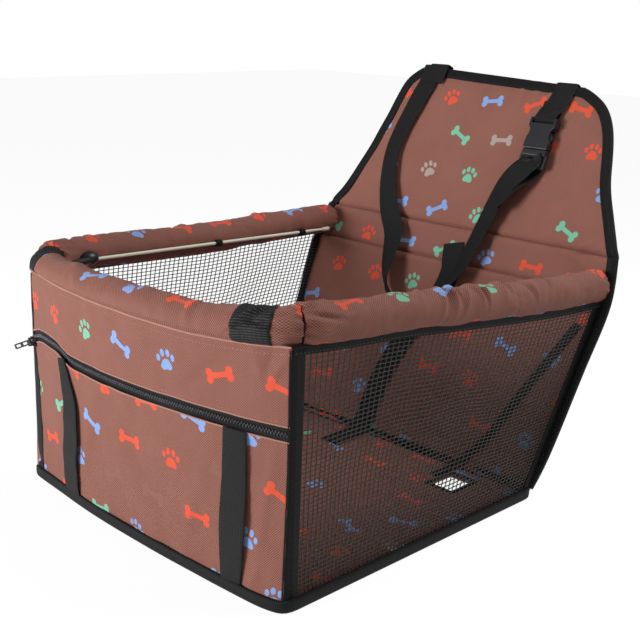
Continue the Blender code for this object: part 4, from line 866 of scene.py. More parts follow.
def dress(node, look):
    """Give a solid that stays its finished material."""
    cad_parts[node].data.materials.clear()
    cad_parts[node].data.materials.append(look)


def make_corner_tapes(tape):
    """Tapes folded round the front corners, over the pocket and the net."""
    for sign, name, front_leg, side_leg in ((-1, "corner_tape_left", 10 * MM, 12 * MM),
                                            (1, "corner_tape_right", 3 * MM, 10 * MM)):
        def place(a, b, sign=sign, front_leg=front_leg, side_leg=side_leg):
            across = -front_leg + (front_leg + side_leg) * (1 - a if sign < 0 else a)
            z = 9 * MM + (hem_z(sign * HALF_WIDTH) - 12 * MM) * b
            if across < 0:
                leg = front_leg if sign > 0 else eased(LEFT_TAPE_LEG, z / MM) * MM
                x = HALF_WIDTH + 0.4 * MM + across / front_leg * leg
                at = front_point(sign * x, z, 2.8 * MM + ripple(across, z, 20 * MM, 0.5 * MM))
            else:
                flare = 3 * MM * bell(z, 16 * MM) if sign > 0 else 0
                up = (z - WALL_FOOT) / (HEM_HEIGHT - WALL_FOOT)
                at = side_point(sign, across / (380 * MM), up, 1.4 * MM + flare * across / side_leg)
                at.z = z
            soft = 0.9 * MM * bell(across, 2.2 * MM)
            return at - Vector((sign * soft, -soft, 0)), (across, z)

        taped = cloth_piece(name + "_cloth", tape, 18, 60, place, 1.1 * MM)
        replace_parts(taped, name)


def make_base_binding(tape):
    """Ribbed tape folded round the whole base, thick like piping."""
    inset = 2.6 * MM
    z = 6.4 * MM
    rear = back_y(0, -BACK_THICKNESS)
    side = HALF_WIDTH + inset
    depth = rear - FRONT_Y - 4 * MM
    points = [front_point(x * MM, z, inset) for x in range(-209, 210, 11)]
    points += [Vector((side, FRONT_Y + 1 * MM + depth * i / 30, z)) for i in range(31)]
    points += [Vector((side - 3 * MM - (2 * side - 6 * MM) * i / 40, rear + inset, z)) for i in range(41)]
    points += [Vector((-side, rear - 3 * MM - depth * i / 30, z)) for i in range(31)]
    smooth = evenly(points + points[:1], 5 * MM)[:-1]
    for step in range(2):
        smooth = [(smooth[i - 1] + spot * 2 + smooth[(i + 1) % len(smooth)]) / 4
                  for i, spot in enumerate(smooth)]
    count = len(smooth)
    normals = [(smooth[(i + 1) % count] - smooth[(i - 1) % count]).cross(UPRIGHT).normalized()
               for i in range(count)]
    bound = ribbon("base_binding", tape, smooth + smooth[:1], normals + normals[:1], 12.8 * MM, 5.6 * MM,
                   ring=True, square=0.45)
    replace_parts(bound, "floor_binding_front", "floor_binding_left", "floor_binding_right",
                "floor_binding_back")


def make_floor(cloth, tape, thread):
    """The padded floor board in its cloth, with the bound slot for the belt's buckle."""
    def steps(breaks, counts):
        line = [breaks[0]]
        for low, high, count in zip(breaks, breaks[1:], counts):
            line += [low + (high - low) * (i + 1) / count for i in range(count)]
        return line

    rear = back_y(0, -BACK_THICKNESS)
    squared = 60 * MM
    xs = steps((-HALF_WIDTH + GAP, SLOT_LOW.x, SLOT_HIGH.x, HALF_WIDTH - GAP), (50, 6, 10))
    ys = steps((0, SLOT_LOW.y - FRONT_Y, SLOT_HIGH.y - FRONT_Y, rear - FRONT_Y), (50, 8, 4))

    def place(a, b):
        x = xs[round(a * (len(xs) - 1))]
        y = ys[round(b * (len(ys) - 1))] + FRONT_Y
        # The grid follows the bowed front and is square from 60 mm behind it
        start = front_point(x, 0, 0).y
        if y < FRONT_Y + squared:
            y = start + (y - FRONT_Y) * (FRONT_Y + squared - start) / squared
        edge = min(HALF_WIDTH - abs(x), y - start, rear - y)
        z = FLOOR_THICKNESS + ripple(x, y, 70 * MM, 0.5 * MM) - 1.2 * MM * math.exp(-edge / (5 * MM))
        return Vector((x, y, z)), (x, y)

    def in_slot(spot):
        return SLOT_LOW.x < spot.x < SLOT_HIGH.x and SLOT_LOW.y < spot.y < SLOT_HIGH.y

    bm = laid_grid(len(xs) - 1, len(ys) - 1, place)
    hole = [face for face in bm.faces if in_slot(face.calc_center_median())]
    bmesh.ops.delete(bm, geom=hole, context="FACES")
    board = finish_mesh("floor_cloth", bm, cloth, "basket")
    thicken(board, 4.6 * MM)
    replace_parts(board, "floor_panel")
    margin = 2.2 * MM
    xs = (SLOT_LOW.x - margin, SLOT_HIGH.x + margin)
    ys = (SLOT_LOW.y - margin, SLOT_HIGH.y + margin)
    top = FLOOR_THICKNESS + 0.4 * MM
    corners = [Vector((xs[i], ys[j], top)) for i, j in ((0, 0), (1, 0), (1, 1), (0, 1), (0, 0))]
    points = evenly(corners, 3 * MM)
    ribbon("slot_binding", tape, points, [UPRIGHT] * len(points), 5 * MM, 1.4 * MM, ring=True)
    seam = [Vector((112 * MM, y * MM, top)) for y in range(-60, 150, 5)]
    stitching("floor_stitches", thread, [(seam, lambda spot: UPRIGHT)], 4.5 * MM,
              (3 * MM, 0.6 * MM, 0.5 * MM))


def make_net(sign, name, net):
    """Knitted net: rectangular cells, inset from a grid, with their middles taken out."""
    def place(a, b):
        a = 1 - a if sign < 0 else a
        x = a * 0.4
        z = b * 0.24
        # The slack cloth bellies in, drags and drops away from its edges, most of all near the front's top
        slack = math.sin(math.pi * a) * math.sin(math.pi * b)
        out = -2.2 * MM * slack + ripple(x, z, 60 * MM, 3 * MM) * slack
        drag = ripple(x + 5, z, 90 * MM, 9 * MM) * slack
        drop = ripple(x + 8, z, 80 * MM, 7 * MM) * slack
        drop -= 8 * MM * bell(a - 0.06, 0.1) * b ** 2 * math.sin(math.pi * min(1, b * 0.97 + 0.02))
        along = a - 0.035 * math.sin(math.pi * a) * (1 - 0.5 * b)
        spot = side_point(sign, along, b * 0.99, out - 0.6 * MM) + Vector((0, drag, drop))
        return spot, (spot.y, spot.z)

    bm = laid_grid(64, 52, place)
    bm.normal_update()
    cells = bmesh.ops.inset_individual(bm, faces=bm.faces[:], thickness=0.41 * MM, use_even_offset=True)
    rims = set(cells["faces"])
    middles = [face for face in bm.faces if face not in rims]
    bmesh.ops.delete(bm, geom=middles, context="FACES")
    made = finish_mesh(name + "_knit", bm, net, "basket")
    thicken(made, 0.8 * MM, 0)
    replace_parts(made, name)


def make_sides(net, tape, thread):
    """The net sides, with a stitched tape along the top of each and one down its rear."""
    for side, sign in SIDES.items():
        make_net(sign, "net_" + side, net)
        out = Vector((sign, 0, 0))
        top = [side_point(sign, i / 60, 1.005, 0.2 * MM) for i in range(61)]
        band = ribbon("net_tape_" + side + "_cloth", tape, top, [out] * 61, 9 * MM, 2.0 * MM)
        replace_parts(band, "net_tape_" + side)
        seam = [side_point(sign, i / 60, 0.996, 1.6 * MM) for i in range(61)]
        stitching("net_stitches_" + side, thread, [(seam, lambda spot, out=out: out)], 4.6 * MM,
                  (2.4 * MM, 0.5 * MM, 0.4 * MM))
        rear = [side_point(sign, 0.99, i / 40, 0.2 * MM) for i in range(41)]
        ribbon("net_rear_tape_" + side, tape, rear, [out] * 41, 13 * MM, 1.8 * MM)


def clear_of_back(point, along):
    """Keep a point in front of the back's cloth by moving it along a direction."""
    off = (point - back_point(0, 0, 0)).dot(BACK_NORMAL)
    short = SEAT_OFF + 0.4 * MM - off
    return point + along * (short / along.dot(BACK_NORMAL)) if short > 0 else point


def clear_of_rod(point, line):
    """Keep a point of a side roll off the rod that slides beside it."""
    nearest = line.on_side((point - line.corner).dot(line.side_along))
    away = point - nearest
    reach = 3.4 * MM
    return nearest + away.normalized() * reach if away.length < reach else point


def behind_hem(point, extra):
    """Tuck the front roll behind the pocket's hem, which stands in front of it."""
    reach = HALF_WIDTH - 5 * MM
    over = point.z - hem_z(min(max(point.x, -reach), reach))
    radius, middle_y = front_arc(min(point.z, RIM_HEIGHT))
    flat = Vector((point.x, point.y - middle_y, 0))
    # Above the hem the roll may round out again
    limit = extra - 0.6 * MM + math.sqrt(max(over, 0) * 14 * MM)
    if flat.length - radius > limit and over < 9 * MM:
        flat = flat * ((radius + limit) / flat.length)
        point = Vector((flat.x, flat.y + middle_y, point.z))
    return point


class Roll:
    """A padded roll of the rim: its middle line and its uneven, gathered surface.

    Each pinch has its place, the reach of its gathers, its depth and the height of its gathers."""

    def __init__(self, points, sags, table, pinches, seed):
        self.points = points
        self.sags = sags
        self.folds = table
        self.seed = seed
        self.lengths = [0]
        for a, b in zip(points, points[1:]):
            self.lengths.append(self.lengths[-1] + (b - a).length)
        self.length = self.lengths[-1]
        self.pinches = pinches(self.length)

    def middle(self, run):
        """The middle line at a distance along it: the point and the way along."""
        run = min(max(run, 0), self.length)
        for i in range(len(self.points) - 1):
            if run <= self.lengths[i + 1]:
                break
        share = (run - self.lengths[i]) / (self.lengths[i + 1] - self.lengths[i])
        first, second = self.points[i:i + 2]
        return first.lerp(second, share), (second - first).normalized()

    def spot(self, run, turn, extra=0):
        """A point of the surface: turn is 0 outwards and a quarter upwards."""
        point, along = self.middle(run)
        along = (self.middle(run - 4 * MM)[1] + self.middle(run + 4 * MM)[1] + along).normalized()
        out = along.cross(UPRIGHT).normalized()
        up = out.cross(along)
        pull = left_pull(RIM_HEIGHT, (point - ROLL_LINES["left"].corner).length)
        point = point + Vector((pull, 0, self.sags(point)))
        size = ROLL_RADIUS + extra
        size += ripple(run + self.seed, turn * 0.02, 34 * MM, 1.9 * MM)
        size += ripple(run + self.seed + 3, turn * 0.014, 12 * MM, 0.8 * MM)
        size += folds(self.folds, run, turn * ROLL_RADIUS)
        for place, reach, depth, gather in self.pinches:
            near = math.exp(-abs(run - place) / reach)
            size += gather * near * math.sin(9 * turn + run / (7 * MM)) * math.cos(4 * turn + 1)
            size -= depth * bell(run - place, 3 * MM)
        return point + out * (math.cos(turn) * size) + up * (math.sin(turn) * size)


def front_roll_pinches(length):
    """The front roll is gathered at both ends."""
    return (0, 16 * MM, 2.5 * MM, 0.9 * MM), (length, 15 * MM, 1.2 * MM, 2.4 * MM)


def side_roll_pinches(length):
    """A side roll is gathered at both ends and nipped once beyond its middle."""
    return ((0, 20 * MM, 1.2 * MM, 2.4 * MM), (0.62 * length, 9 * MM, 0.6 * MM, 0.6 * MM),
            (length, 14 * MM, 5 * MM, 1.5 * MM), (length - 5 * MM, 8 * MM, 3 * MM, 0.6 * MM))


def make_rolls(cloth):
    """The three padded rolls of the rim, which meet in the front corners."""
    left = ROLL_LINES["left"]
    right = ROLL_LINES["right"]
    points = left.bend([0.5, 0.4, 0.3, 0.2, 0.1, 0])
    points += [right.on_front(x) for x in spread(abs(right.front_end.x), 40)[1:-1]]
    points += right.bend([0, 0.11, 0.22, 0.33, 0.44, 0.55, 0.66])

    def front_sag(point):
        return eased(FRONT_SAG, min(max(point.x / MM, -200), 200)) * MM

    rolls = {"front": Roll(points, front_sag, FRONT_ROLL_FOLDS, front_roll_pinches, 0.011)}
    for side, line, shares, table, seed in (
            ("left", left, [0.5, 0.6, 0.7, 0.8, 0.9, 1], LEFT_ROLL_FOLDS, 0.7),
            ("right", right, [0.66, 0.74, 0.83, 0.92, 1], RIGHT_ROLL_FOLDS, 1.3)):
        def sags(point, line=line):
            share = (point.y - line.corner.y) / (line.rear.y - line.corner.y)
            return side_sag(line.sign, min(max(share, 0), 1))

        points = line.bend(shares) + [line.side_start.lerp(line.rear, i / 30) for i in range(1, 31)]
        rolls[side] = Roll(points, sags, table, side_roll_pinches, seed)
    for side, roll in rolls.items():
        def place(a, b, side=side, roll=roll):
            turn = 2 * math.pi * (0.75 - a)
            run = roll.length * b
            point = roll.spot(run, turn)
            if side == "front":
                point = behind_hem(point, 0)
            elif b > 0.2:
                point = clear_of_rod(point, ROD_LINES[side])
            if side != "front" and b > 0.8:
                point = clear_of_back(point, (roll.points[-1] - roll.points[-2]).normalized())
            return point, (run + roll.seed, turn * ROLL_RADIUS)

        made = tube_piece("roll_cloth_" + side, cloth, 72, round(roll.length / (1.5 * MM)), place)
        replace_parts(made, "rim_roll_" + side)
    return rolls["front"]


def make_elastic(roll, elastic):
    """Ribbed elastic bands over the front roll, tucked behind the hem."""
    for side, start, width in (("left", 6 * MM, 26 * MM), ("right", roll.length - 54.5 * MM, 36 * MM)):
        def place(a, b, start=start, width=width):
            turn = (-60 + 250 * b) * DEG
            point = roll.spot(start + width * a, turn, 0.9 * MM)
            return behind_hem(point, 0.9 * MM), (width * a, turn * ROLL_RADIUS)

        band = cloth_piece("elastic_cloth_" + side, elastic, 16, 60, place, 1.0 * MM)
        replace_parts(band, "elastic_band_" + side)


def make_rods(rod, plastic, tape):
    """White rods under the rim, with black elbows, tips and loops of tape."""
    def tape_loop(name, line_at):
        # Its points lie close together where its ends soften
        points = [line_at(step * MM) for step in (-5, -4.4, 0, 4.4, 5)]
        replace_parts(rod_piece(name + "_tape", tape, points, LOOP_RADIUS, "basket"), name)

    right = ROD_LINES["right"]
    rod_out = 18 * MM
    points = [right.on_front(x) for x in spread(abs(right.corner.x) - rod_out, 60)]
    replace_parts(rod_piece("front_rod_bar", rod, points, ROD_RADIUS, "basket"), "front_rod")
    for share, name in ((-0.52, "rod_loop_front_1"), (0.52, "rod_loop_front_2")):
        tape_loop(name, lambda step, share=share: right.on_front(share * HALF_WIDTH + step))
    for side, elbow_end, rod_start in (("left", 42 * MM, 30 * MM), ("right", 30 * MM, rod_out)):
        line = ROD_LINES[side]
        body = "rod_" + side
        bend = line.bend([i / 12 for i in range(13)])
        start = line.on_front(abs(line.corner.x) - 30 * MM)
        end = line.on_side(elbow_end)
        points = [start, start.lerp(bend[0], 0.06)] + bend + [end.lerp(bend[-1], 0.06), end]
        if side == "left":
            points = [spot + ACROSS * left_pull(RIM_HEIGHT, (spot - line.corner).length) for spot in points]
        elbow = rod_piece("rod_elbow_cap_" + side, plastic, points, LOOP_RADIUS, "basket")
        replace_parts(elbow, "rod_elbow_" + side)
        if side == "left":
            # The left elbow carries a moulded dome
            middle = line.on_side(34 * MM) + Vector((-1.5, 0, 1.5)) * MM
            matrix = Matrix.Translation(middle) @ Matrix.Diagonal((1, 1.35, 0.95, 1))
            bm = bmesh.new()
            bmesh.ops.create_uvsphere(bm, u_segments=40, v_segments=24, radius=8.5 * MM, matrix=matrix)
            finish_mesh("elbow_dome_left", bm, plastic, "basket")
        rod_end = line.rear - line.side_along * 36 * MM
        points = [line.on_side(rod_start).lerp(rod_end, i / 20) for i in range(21)]
        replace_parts(rod_piece("side_rod_bar_" + side, rod, points, ROD_RADIUS, body), "side_rod_" + side)
        tip = [rod_end + line.side_along * step * MM for step in (0.3, 0.8, 6, 11, 11.8, 12)]
        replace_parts(rod_piece("rod_tip_cap_" + side, rod, tip, TIP_RADIUS, body), "rod_tip_" + side)
        for number, share in (("1", 0.5), ("2", 0.83)):
            middle = line.corner.lerp(line.rear, share)
            tape_loop("rod_loop_" + side + "_" + number,
                      lambda step, line=line, middle=middle: middle + line.side_along * step)


def edge_at(points, s):
    """Half width of the back at a distance up it, from its edge's points, in metres."""
    for (low_wide, low), (high_wide, high) in zip(points, points[1:]):
        if s / MM <= high:
            return (low_wide + (high_wide - low_wide) * (s / MM - low) / (high - low)) * MM
    return points[-1][0] * MM


def smooth_edge(points, count):
    """An edge's points made into a smooth curve of that many steps, still in mm."""
    return [tuple(along_points([(*p, 0) for p in points], i / count)[:2]) for i in range(count + 1)]


BACK_CURVE = smooth_edge(BACK_EDGE, 40)
FLAP_STEPS = 48
LEFT_CURVE = smooth_edge(FLAP_LEFT, FLAP_STEPS)
RIGHT_CURVE = smooth_edge(FLAP_RIGHT, FLAP_STEPS)


def back_wave(u, s):
    """The back's soft surface: shallow swells, sewn creases and a few slack folds."""
    out = ripple(u, s, 80 * MM, 2.4 * MM) + ripple(u + 2, s, 30 * MM, 0.9 * MM)
    for crease in (LOWER_CREASE, UPPER_CREASE):
        away = abs(s - crease)
        out -= 2.6 * MM * bell(away, 2.0 * MM)
        out += 1.2 * MM * bell(away - 8 * MM, 6 * MM)
        out += ripple(u, crease, 9 * MM, 1.3 * MM) * bell(away - 5 * MM, 6 * MM)
    out += folds(BACK_FOLDS, u, s)
    return out + bell(s - 20 * MM, 22 * MM) * ripple(u, s, 20 * MM, 1.6 * MM)


def back_spot(u, s, wave):
    """A point of the back's cloth with its place in the cloth map."""
    return back_point(u, s, wave), (u + 0.01, s + 0.02)


def closer(b, pull):
    """A share moved towards the nearer end, so that rows lie closer together beside the creases."""
    return b - math.sin(2 * math.pi * b) / (2 * math.pi) * pull


def make_back(cloth, tape):
    """The back's cloth between its bindings, creased at the rim's band."""
    for name, low, high, rows, node in (
            ("back_cloth", 0.5 * MM, LOWER_CREASE, 80, "back_wall"),
            ("back_strip_cloth", LOWER_CREASE, UPPER_CREASE - 0.1 * MM, 26, "back_strip")):
        def place(a, b, low=low, high=high):
            s = low + (high - low) * closer(b, 0.85)
            u = (edge_at(BACK_CURVE, s) - 2 * MM) * (2 * a - 1)
            return back_spot(u, s, back_wave(u, s))

        made = cloth_piece(name, cloth, 140, rows, place, BACK_THICKNESS)
        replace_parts(made, node)
    for name, s in (("lower_crease_tape", LOWER_CREASE), ("upper_crease_tape", UPPER_CREASE - 1 * MM)):
        points = [back_point(u, s, back_wave(u, s) - BACK_THICKNESS - 1.1 * MM)
                  for u in spread(edge_at(BACK_CURVE, s) - 8 * MM, 120)]
        ribbon(name, tape, points, [BACK_NORMAL] * len(points), 12 * MM, 1.6 * MM)
    heights = [7 * MM + (UPPER_CREASE - 8 * MM) * i / 70 for i in range(71)]
    for side, sign in SIDES.items():
        points = [back_point(sign * (edge_at(BACK_CURVE, s) - 6.2 * MM), s, -BACK_THICKNESS / 2)
                  for s in heights]
        bound = ribbon("back_binding_tape_" + side, tape, points, [BACK_NORMAL] * len(points), 13 * MM,
                       6.6 * MM)
        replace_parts(bound, "back_binding_" + side)


def flap_spot(a, b):
    """How far across and up a share pair of the flap is."""
    b = closer(b, 0.6)
    i = min(int(b * FLAP_STEPS), FLAP_STEPS - 1)
    low, high = (Vector(LEFT_CURVE[k]).lerp(Vector(RIGHT_CURVE[k]), a) for k in (i, i + 1))
    return low.lerp(high, b * FLAP_STEPS - i) * MM


def flap_wave(u, s):
    """The flap's soft surface, with the curl of its left shoulder."""
    return back_wave(u, s) - 5 * MM * bell(u + 214 * MM, 24 * MM) * bell(s - 316 * MM, 26 * MM)


def make_flap(cloth, tape):
    """The flap that folds at the upper crease, with its bound edge."""
    def place(a, b):
        u, s = flap_spot(0.006 + 0.988 * a, 0.001 + 0.994 * b)
        return back_spot(u, s, flap_wave(u, s))

    panel = cloth_piece("flap_cloth", cloth, 110, 72, place, BACK_THICKNESS, "flap")
    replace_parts(panel, "flap_panel")
    left = [Vector((*p, 0)) for p in LEFT_CURVE]
    right = [Vector((*p, 0)) for p in RIGHT_CURVE]
    edge = left + [left[-1].lerp(right[-1], i / 30) for i in range(1, 30)] + right[::-1]
    last = len(edge) - 1
    for step in range(3):
        inner = [(edge[i - 1] + edge[i] * 2 + edge[i + 1]) / 4 for i in range(1, last)]
        edge = [edge[0]] + inner + [edge[-1]]
    points = []
    for i, spot in enumerate(edge):
        along = (edge[min(i + 1, last)] - edge[max(i - 1, 0)]).normalized()
        u, s, flat = (spot + along.cross(UPRIGHT) * 6.2) * MM
        points.append(back_point(u, s, -BACK_THICKNESS / 2 + flap_wave(u, s) * 0.7))
    points = evenly(points, 4 * MM)
    bound = ribbon("flap_binding_tape", tape, points, [BACK_NORMAL] * len(points), 13 * MM, 6.8 * MM, "flap")
    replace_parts(bound, "flap_binding")


def make_crease_lining(cloth):
    """Cloth inside the upper crease, bent round the hinge, so it stays closed when the flap folds."""
    wide = edge_at(BACK_CURVE, UPPER_CREASE) - 6 * MM
    for name, body, low, high, inner in (("crease_lining_strip", "basket", -60, 60, 0),
                                         ("crease_lining_flap", "flap", -60, 50, 0.4)):
        def place(a, b, low=low, high=high, inner=inner):
            u = wide * (2 * a - 1)
            turn = (low + (high - low) * b) * DEG
            reach = SEAT_OFF - back_wave(u, UPPER_CREASE) + (1.5 - inner) * MM
            spot = back_point(u, UPPER_CREASE + reach * math.sin(turn), SEAT_OFF - reach * math.cos(turn))
            return spot, (u + 0.01, UPPER_CREASE + reach * turn + 0.02)

        cloth_piece(name, cloth, 120, 12, place, 0.3 * MM, body)


def strap(name, look, route, body, width=WEBBING):
    """Webbing along a route of points, each with the direction across it."""
    points = [spot for spot, across in route]
    count = len(points) - 1
    steps = max(30, count * 6)
    smooth = [along_points(points, i / steps) for i in range(steps + 1)]
    normals = []
    for i in range(steps + 1):
        place = i / steps * count
        k = min(int(place), count - 1)
        across = route[k][1].lerp(route[k + 1][1], place - k)
        along = (smooth[min(i + 1, steps)] - smooth[max(i - 1, 0)]).normalized()
        across = (across - along * across.dot(along)).normalized()
        normals.append(across.cross(along).normalized())
    return ribbon(name, look, smooth, normals, width, WEBBING_CLOTH, body)


def back_direction(u, s, off):
    """A direction given by its shares across, up and off the back."""
    return back_point(u, s, off) - back_point(0, 0, 0)


def level(u, s, off):
    """A stop of a strap's route where the webbing lies level across the back."""
    return back_point(u, s, off), ACROSS


def flap_top_at(u):
    """How far up the flap's top is: it slopes from left to right."""
    (left_x, left_y), (right_x, right_y) = FLAP_LEFT[-1], FLAP_RIGHT[-1]
    return (left_y + (right_y - left_y) * (u / MM - left_x) / (right_x - left_x)) * MM


def over_top(u, lift):
    """Webbing sewn behind the flap and folded forward over its bound top."""
    edge = flap_top_at(u)
    top = edge + 1.4 * MM + lift
    front = 2.9 * MM + lift
    behind = -BACK_THICKNESS - front
    return [level(u, edge - 30 * MM, behind), level(u, edge - 8 * MM, behind),
            level(u, top - 0.6 * MM, behind + 0.6 * MM), level(u, top + 0.4 * MM, -1.5 * MM),
            level(u, top - 0.6 * MM, front - 0.6 * MM), level(u, edge - 8 * MM, front)]


def round_bar(middle, radius, first, last):
    """Webbing round a buckle's bar, between two angles."""
    angles = [first + (last - first) * i / 6 for i in range(7)]
    return [level(BUCKLE_X, middle + radius * math.cos(turn), BUCKLE_LIFT + radius * math.sin(turn))
            for turn in angles]


def make_headrest_strap(webbing):
    """Two lengths that meet at the loop's foot, so that each can slacken on its own."""
    free = []
    for u, s, off, twist in HEADREST_ROUTE:
        angle = twist * math.pi / 2
        across = back_direction(math.cos(angle), 0, math.sin(angle))
        free.append((back_point(u * MM, s * MM, off * MM), across))
    foot = 14
    first = strap("headrest_strap_left", webbing, over_top(-121 * MM, 0) + free[:foot + 1], "flap")
    # A second layer lies folded over the first where it is sewn
    fold_x = -112 * MM
    fold = over_top(-110 * MM, 1.8 * MM) + [level(fold_x, flap_top_at(fold_x) - 22 * MM, 5.2 * MM)]
    strap("headrest_strap_fold", webbing, fold, "flap")
    middle = BUCKLE_TOP - LADDER_MIDDLE
    end = BUCKLE_TOP - 64 * MM
    edged = back_direction(math.cos(0.75), 0.2, math.sin(0.75))
    last = [level(BUCKLE_X - 8 * MM, end - 4 * MM, BUCKLE_LIFT + 6.4 * MM)]
    last += round_bar(middle, 4.1 * MM, math.pi * 0.6, -math.pi * 0.6)
    last += [level(BUCKLE_X - 4 * MM, end - 5 * MM, BUCKLE_LIFT - 4 * MM),
             (back_point(BUCKLE_X - 15 * MM, end - 30 * MM, 11 * MM), ACROSS.lerp(edged, 0.7)),
             (back_point(BUCKLE_X - 26 * MM, end - 56 * MM, 15 * MM), edged)]
    second = strap("headrest_strap_right", webbing, free[foot:] + last, "flap")
    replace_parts(first, "headrest_strap")
    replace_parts(second, "headrest_strap")
    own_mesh(first)
    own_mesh(second)


def make_loop_strap(webbing):
    """The short strap that holds the buckle's shell at the flap's top."""
    bar = BUCKLE_TOP - 1.5 * MM
    route = over_top(BUCKLE_X + 9 * MM, 0)
    route += [level(BUCKLE_X + 5 * MM, bar + 22 * MM, 6 * MM),
              level(BUCKLE_X + 1 * MM, bar + 11 * MM, 9 * MM)]
    route += round_bar(bar, 4.0 * MM, math.pi * 0.4, math.pi * 1.6)
    route += [level(BUCKLE_X, bar + 16 * MM, 2.9 * MM), level(BUCKLE_X, bar + 26 * MM, 2.6 * MM)]
    made = strap("loop_strap_webbing", webbing, route, "flap")
    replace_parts(made, "loop_strap")


def make_back_straps(webbing):
    """The tether and the narrow strap that hang down the back inside the basket."""
    def hanging(u, s):
        return back_point(u * MM, s * MM, 2.2 * MM + max(0, back_wave(u * MM, s * MM)))

    def lying(x, back, high):
        return Vector((x * MM, REAR_Y - back * MM, FLOOR_THICKNESS + (1.4 + high) * MM)), ACROSS

    spots = ((3, 264), (8, 245), (12, 228), (8, 200), (-8, 168), (-26, 130), (-40, 88), (-46, 51), (-47, 20))
    route = [(hanging(u, s), ACROSS) for u, s in spots]
    route += [lying(-47, back, high) for back, high in ((4, 5), (11, 1), (30, 0), (60, 0))]
    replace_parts(strap("tether_webbing", webbing, route, "basket"), "tether_strap")
    spots = ((207, 200), (185, 152), (162, 100), (139, 46), (118, 14))
    along = back_direction(spots[0][0] - spots[-1][0], spots[0][1] - spots[-1][1], 0)
    route = [(hanging(u, s), along.cross(BACK_NORMAL).normalized()) for u, s in spots]
    route += [lying(107.5, back, high) for back, high in ((10, 2), (20, 0), (42, 0))]
    made = strap("slot_strap_webbing", webbing, route, "basket", SLOT_STRAP)
    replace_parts(made, "slot_strap")


def make_pocket_straps(webbing):
    """Two upright straps from the zip to the base, bowed a little outwards."""
    for side, middles, widths in (("left", (-120, -115, -106.5, -104.5, -115.5), (30, 30, 30, 27, 16)),
                                  ("right", (146.6, 150, 152.7, 153, 153), (26, 30, 31, 29, 27))):
        points = []
        low = 8 * MM
        for i in range(41):
            up = i / 40
            x = along_values(middles, up) * MM
            z = low + (below_zip(x) + 1 * MM - low) * up
            points.append(front_point(x, z, pocket_out(x, z) + (1.6 + 3.0 * math.sin(math.pi * up)) * MM))
        made = ribbon("pocket_strap_webbing_" + side, webbing, points, [outward(point) for point in points],
                      lambda share, widths=widths: along_values(widths, share) * MM, 1.8 * MM)
        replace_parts(made, "pocket_strap_" + side)


def make_camera():
    """The photograph's viewpoint, fitted to the floor, the walls and the flap."""
    azimuth = 44.461 * DEG
    elevation = 15.658 * DEG
    roll = 1.6237 * DEG
    distance = 1.2587
    target = Vector((0.0228, 0.0341, 0.1963))
    back = Vector((math.sin(azimuth) * math.cos(elevation), -math.cos(azimuth) * math.cos(elevation),
                   math.sin(elevation)))
    right = (-back).cross(UPRIGHT).normalized()
    up = right.cross(-back)
    side = right * math.cos(roll) + up * math.sin(roll)
    top = -right * math.sin(roll) + up * math.cos(roll)
    data = bpy.data.cameras.new("camera")
    data.sensor_width = 36
    data.lens = 63.63
    made = placed_object("camera", data)
    made.matrix_world = placing((side, top, back), target + back * distance)
    bpy.context.scene.camera = made


def area_lamp(name, place, aim, size, power):
    """A round soft lamp of that width in metres and power in watts, aimed at a point."""
    data = bpy.data.lights.new(name, "AREA")
    data.shape = "DISK"
    data.size = size
    data.energy = power
    made = placed_object(name, data)
    made.location = place
    made.rotation_euler = (Vector(aim) - Vector(place)).to_track_quat("-Z", "Y").to_euler()


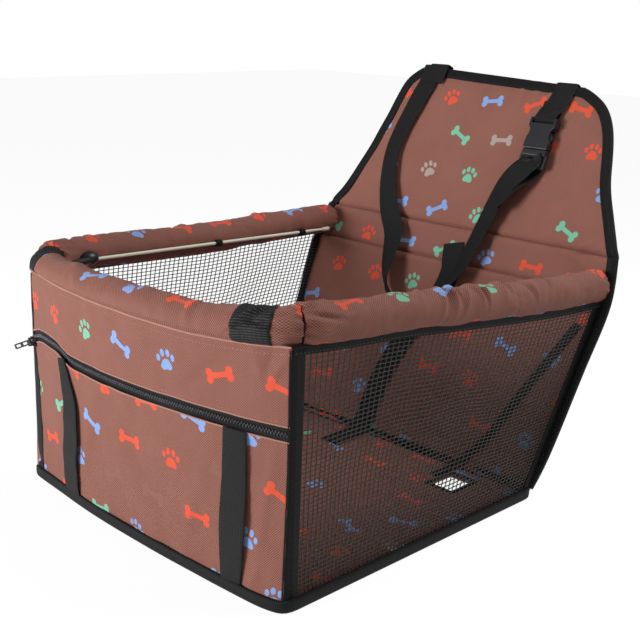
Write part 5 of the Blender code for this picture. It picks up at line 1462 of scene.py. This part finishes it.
def make_studio():
    """A white floor and world, with broad soft lamps before the object."""
    look, tree = new_look("studio_floor", Base_Color=linear_colour("#e8e8e8"), Roughness=0.9,
                          Specular_IOR_Level=0.0)
    # Seen by the camera the floor glows white like a paper sweep, and light that falls on it still shades it
    rays = add(tree, "LightPath").node.outputs
    glow = add(tree, "Emission", ((1, 1, 1, 1), 1.08))
    seen = add(tree, "Math", (rays["Is Camera Ray"], rays["Is Glossy Ray"]), operation="MAXIMUM")
    seen = add(tree, "Math", (seen, rays["Is Transmission Ray"]), operation="MAXIMUM")
    share = add(tree, "Math", (seen, 0.86), operation="MULTIPLY")
    both = add(tree, "MixShader", (share, tree.nodes["Principled BSDF"].outputs[0], glow))
    tree.links.new(both, tree.nodes["Material Output"].inputs[0])
    bm = bmesh.new()
    bmesh.ops.create_grid(bm, x_segments=1, y_segments=1, size=6,
                          matrix=Matrix.Translation((0, 0, -0.4 * MM)))
    ground = finish_mesh("studio_ground", bm, look, None)
    world = bpy.data.worlds.new("studio")
    world.use_nodes = True
    bpy.context.scene.world = world
    # The backdrop is white to the camera and a dim fill to everything else
    tree = world.node_tree
    rays = add(tree, "LightPath").node.outputs
    seen = add(tree, "Math", (rays["Is Camera Ray"], rays["Is Transmission Ray"]), operation="MAXIMUM")
    backdrop = tree.nodes["Background"]
    backdrop.inputs[0].default_value = (1, 1, 1, 1)
    tree.links.new(add(tree, "MapRange", (seen, 0.0, 1.0, 0.22, 1.0)), backdrop.inputs[1])
    area_lamp("key_lamp", (-0.75, -2.0, 0.6), (0, 0, 0.2), 1.0, 46)
    area_lamp("fill_lamp", (1.8, -1.0, 0.7), (0, 0, 0.15), 1.4, 1.7)
    area_lamp("top_lamp", (0.6, 0.75, 1.45), (0, 0, 0.2), 1.0, 16)
    bpy.context.scene.view_settings.view_transform = "Standard"


def main():
    """Build the studio, then the seat from its floor up."""
    make_camera()
    make_studio()
    looks = make_looks()
    make_floor(looks["printed"], looks["tape"], looks["brown_thread"])
    make_base_binding(looks["tape"])
    make_liner(looks["lining"])
    make_pocket(looks["printed"], looks["fold"], looks["brown_thread"])
    make_zip(looks["zip_tape"], looks["coil"], looks["zinc"])
    make_corner_tapes(looks["tape"])
    make_pocket_straps(looks["webbing"])
    make_sides(looks["net"], looks["tape"], looks["grey_thread"])
    front_roll = make_rolls(looks["printed"])
    make_elastic(front_roll, looks["elastic"])
    make_rods(looks["rod"], looks["acetal"], looks["tape"])
    make_back(looks["back"], looks["tape"])
    make_flap(looks["back"], looks["tape"])
    make_crease_lining(looks["back"])
    make_headrest_strap(looks["webbing"])
    make_loop_strap(looks["webbing"])
    make_back_straps(looks["webbing"])
    for node in ("buckle_shell", "buckle_plug", "buckle_prong_left", "buckle_prong_right"):
        dress(node, looks["acetal"])


main()
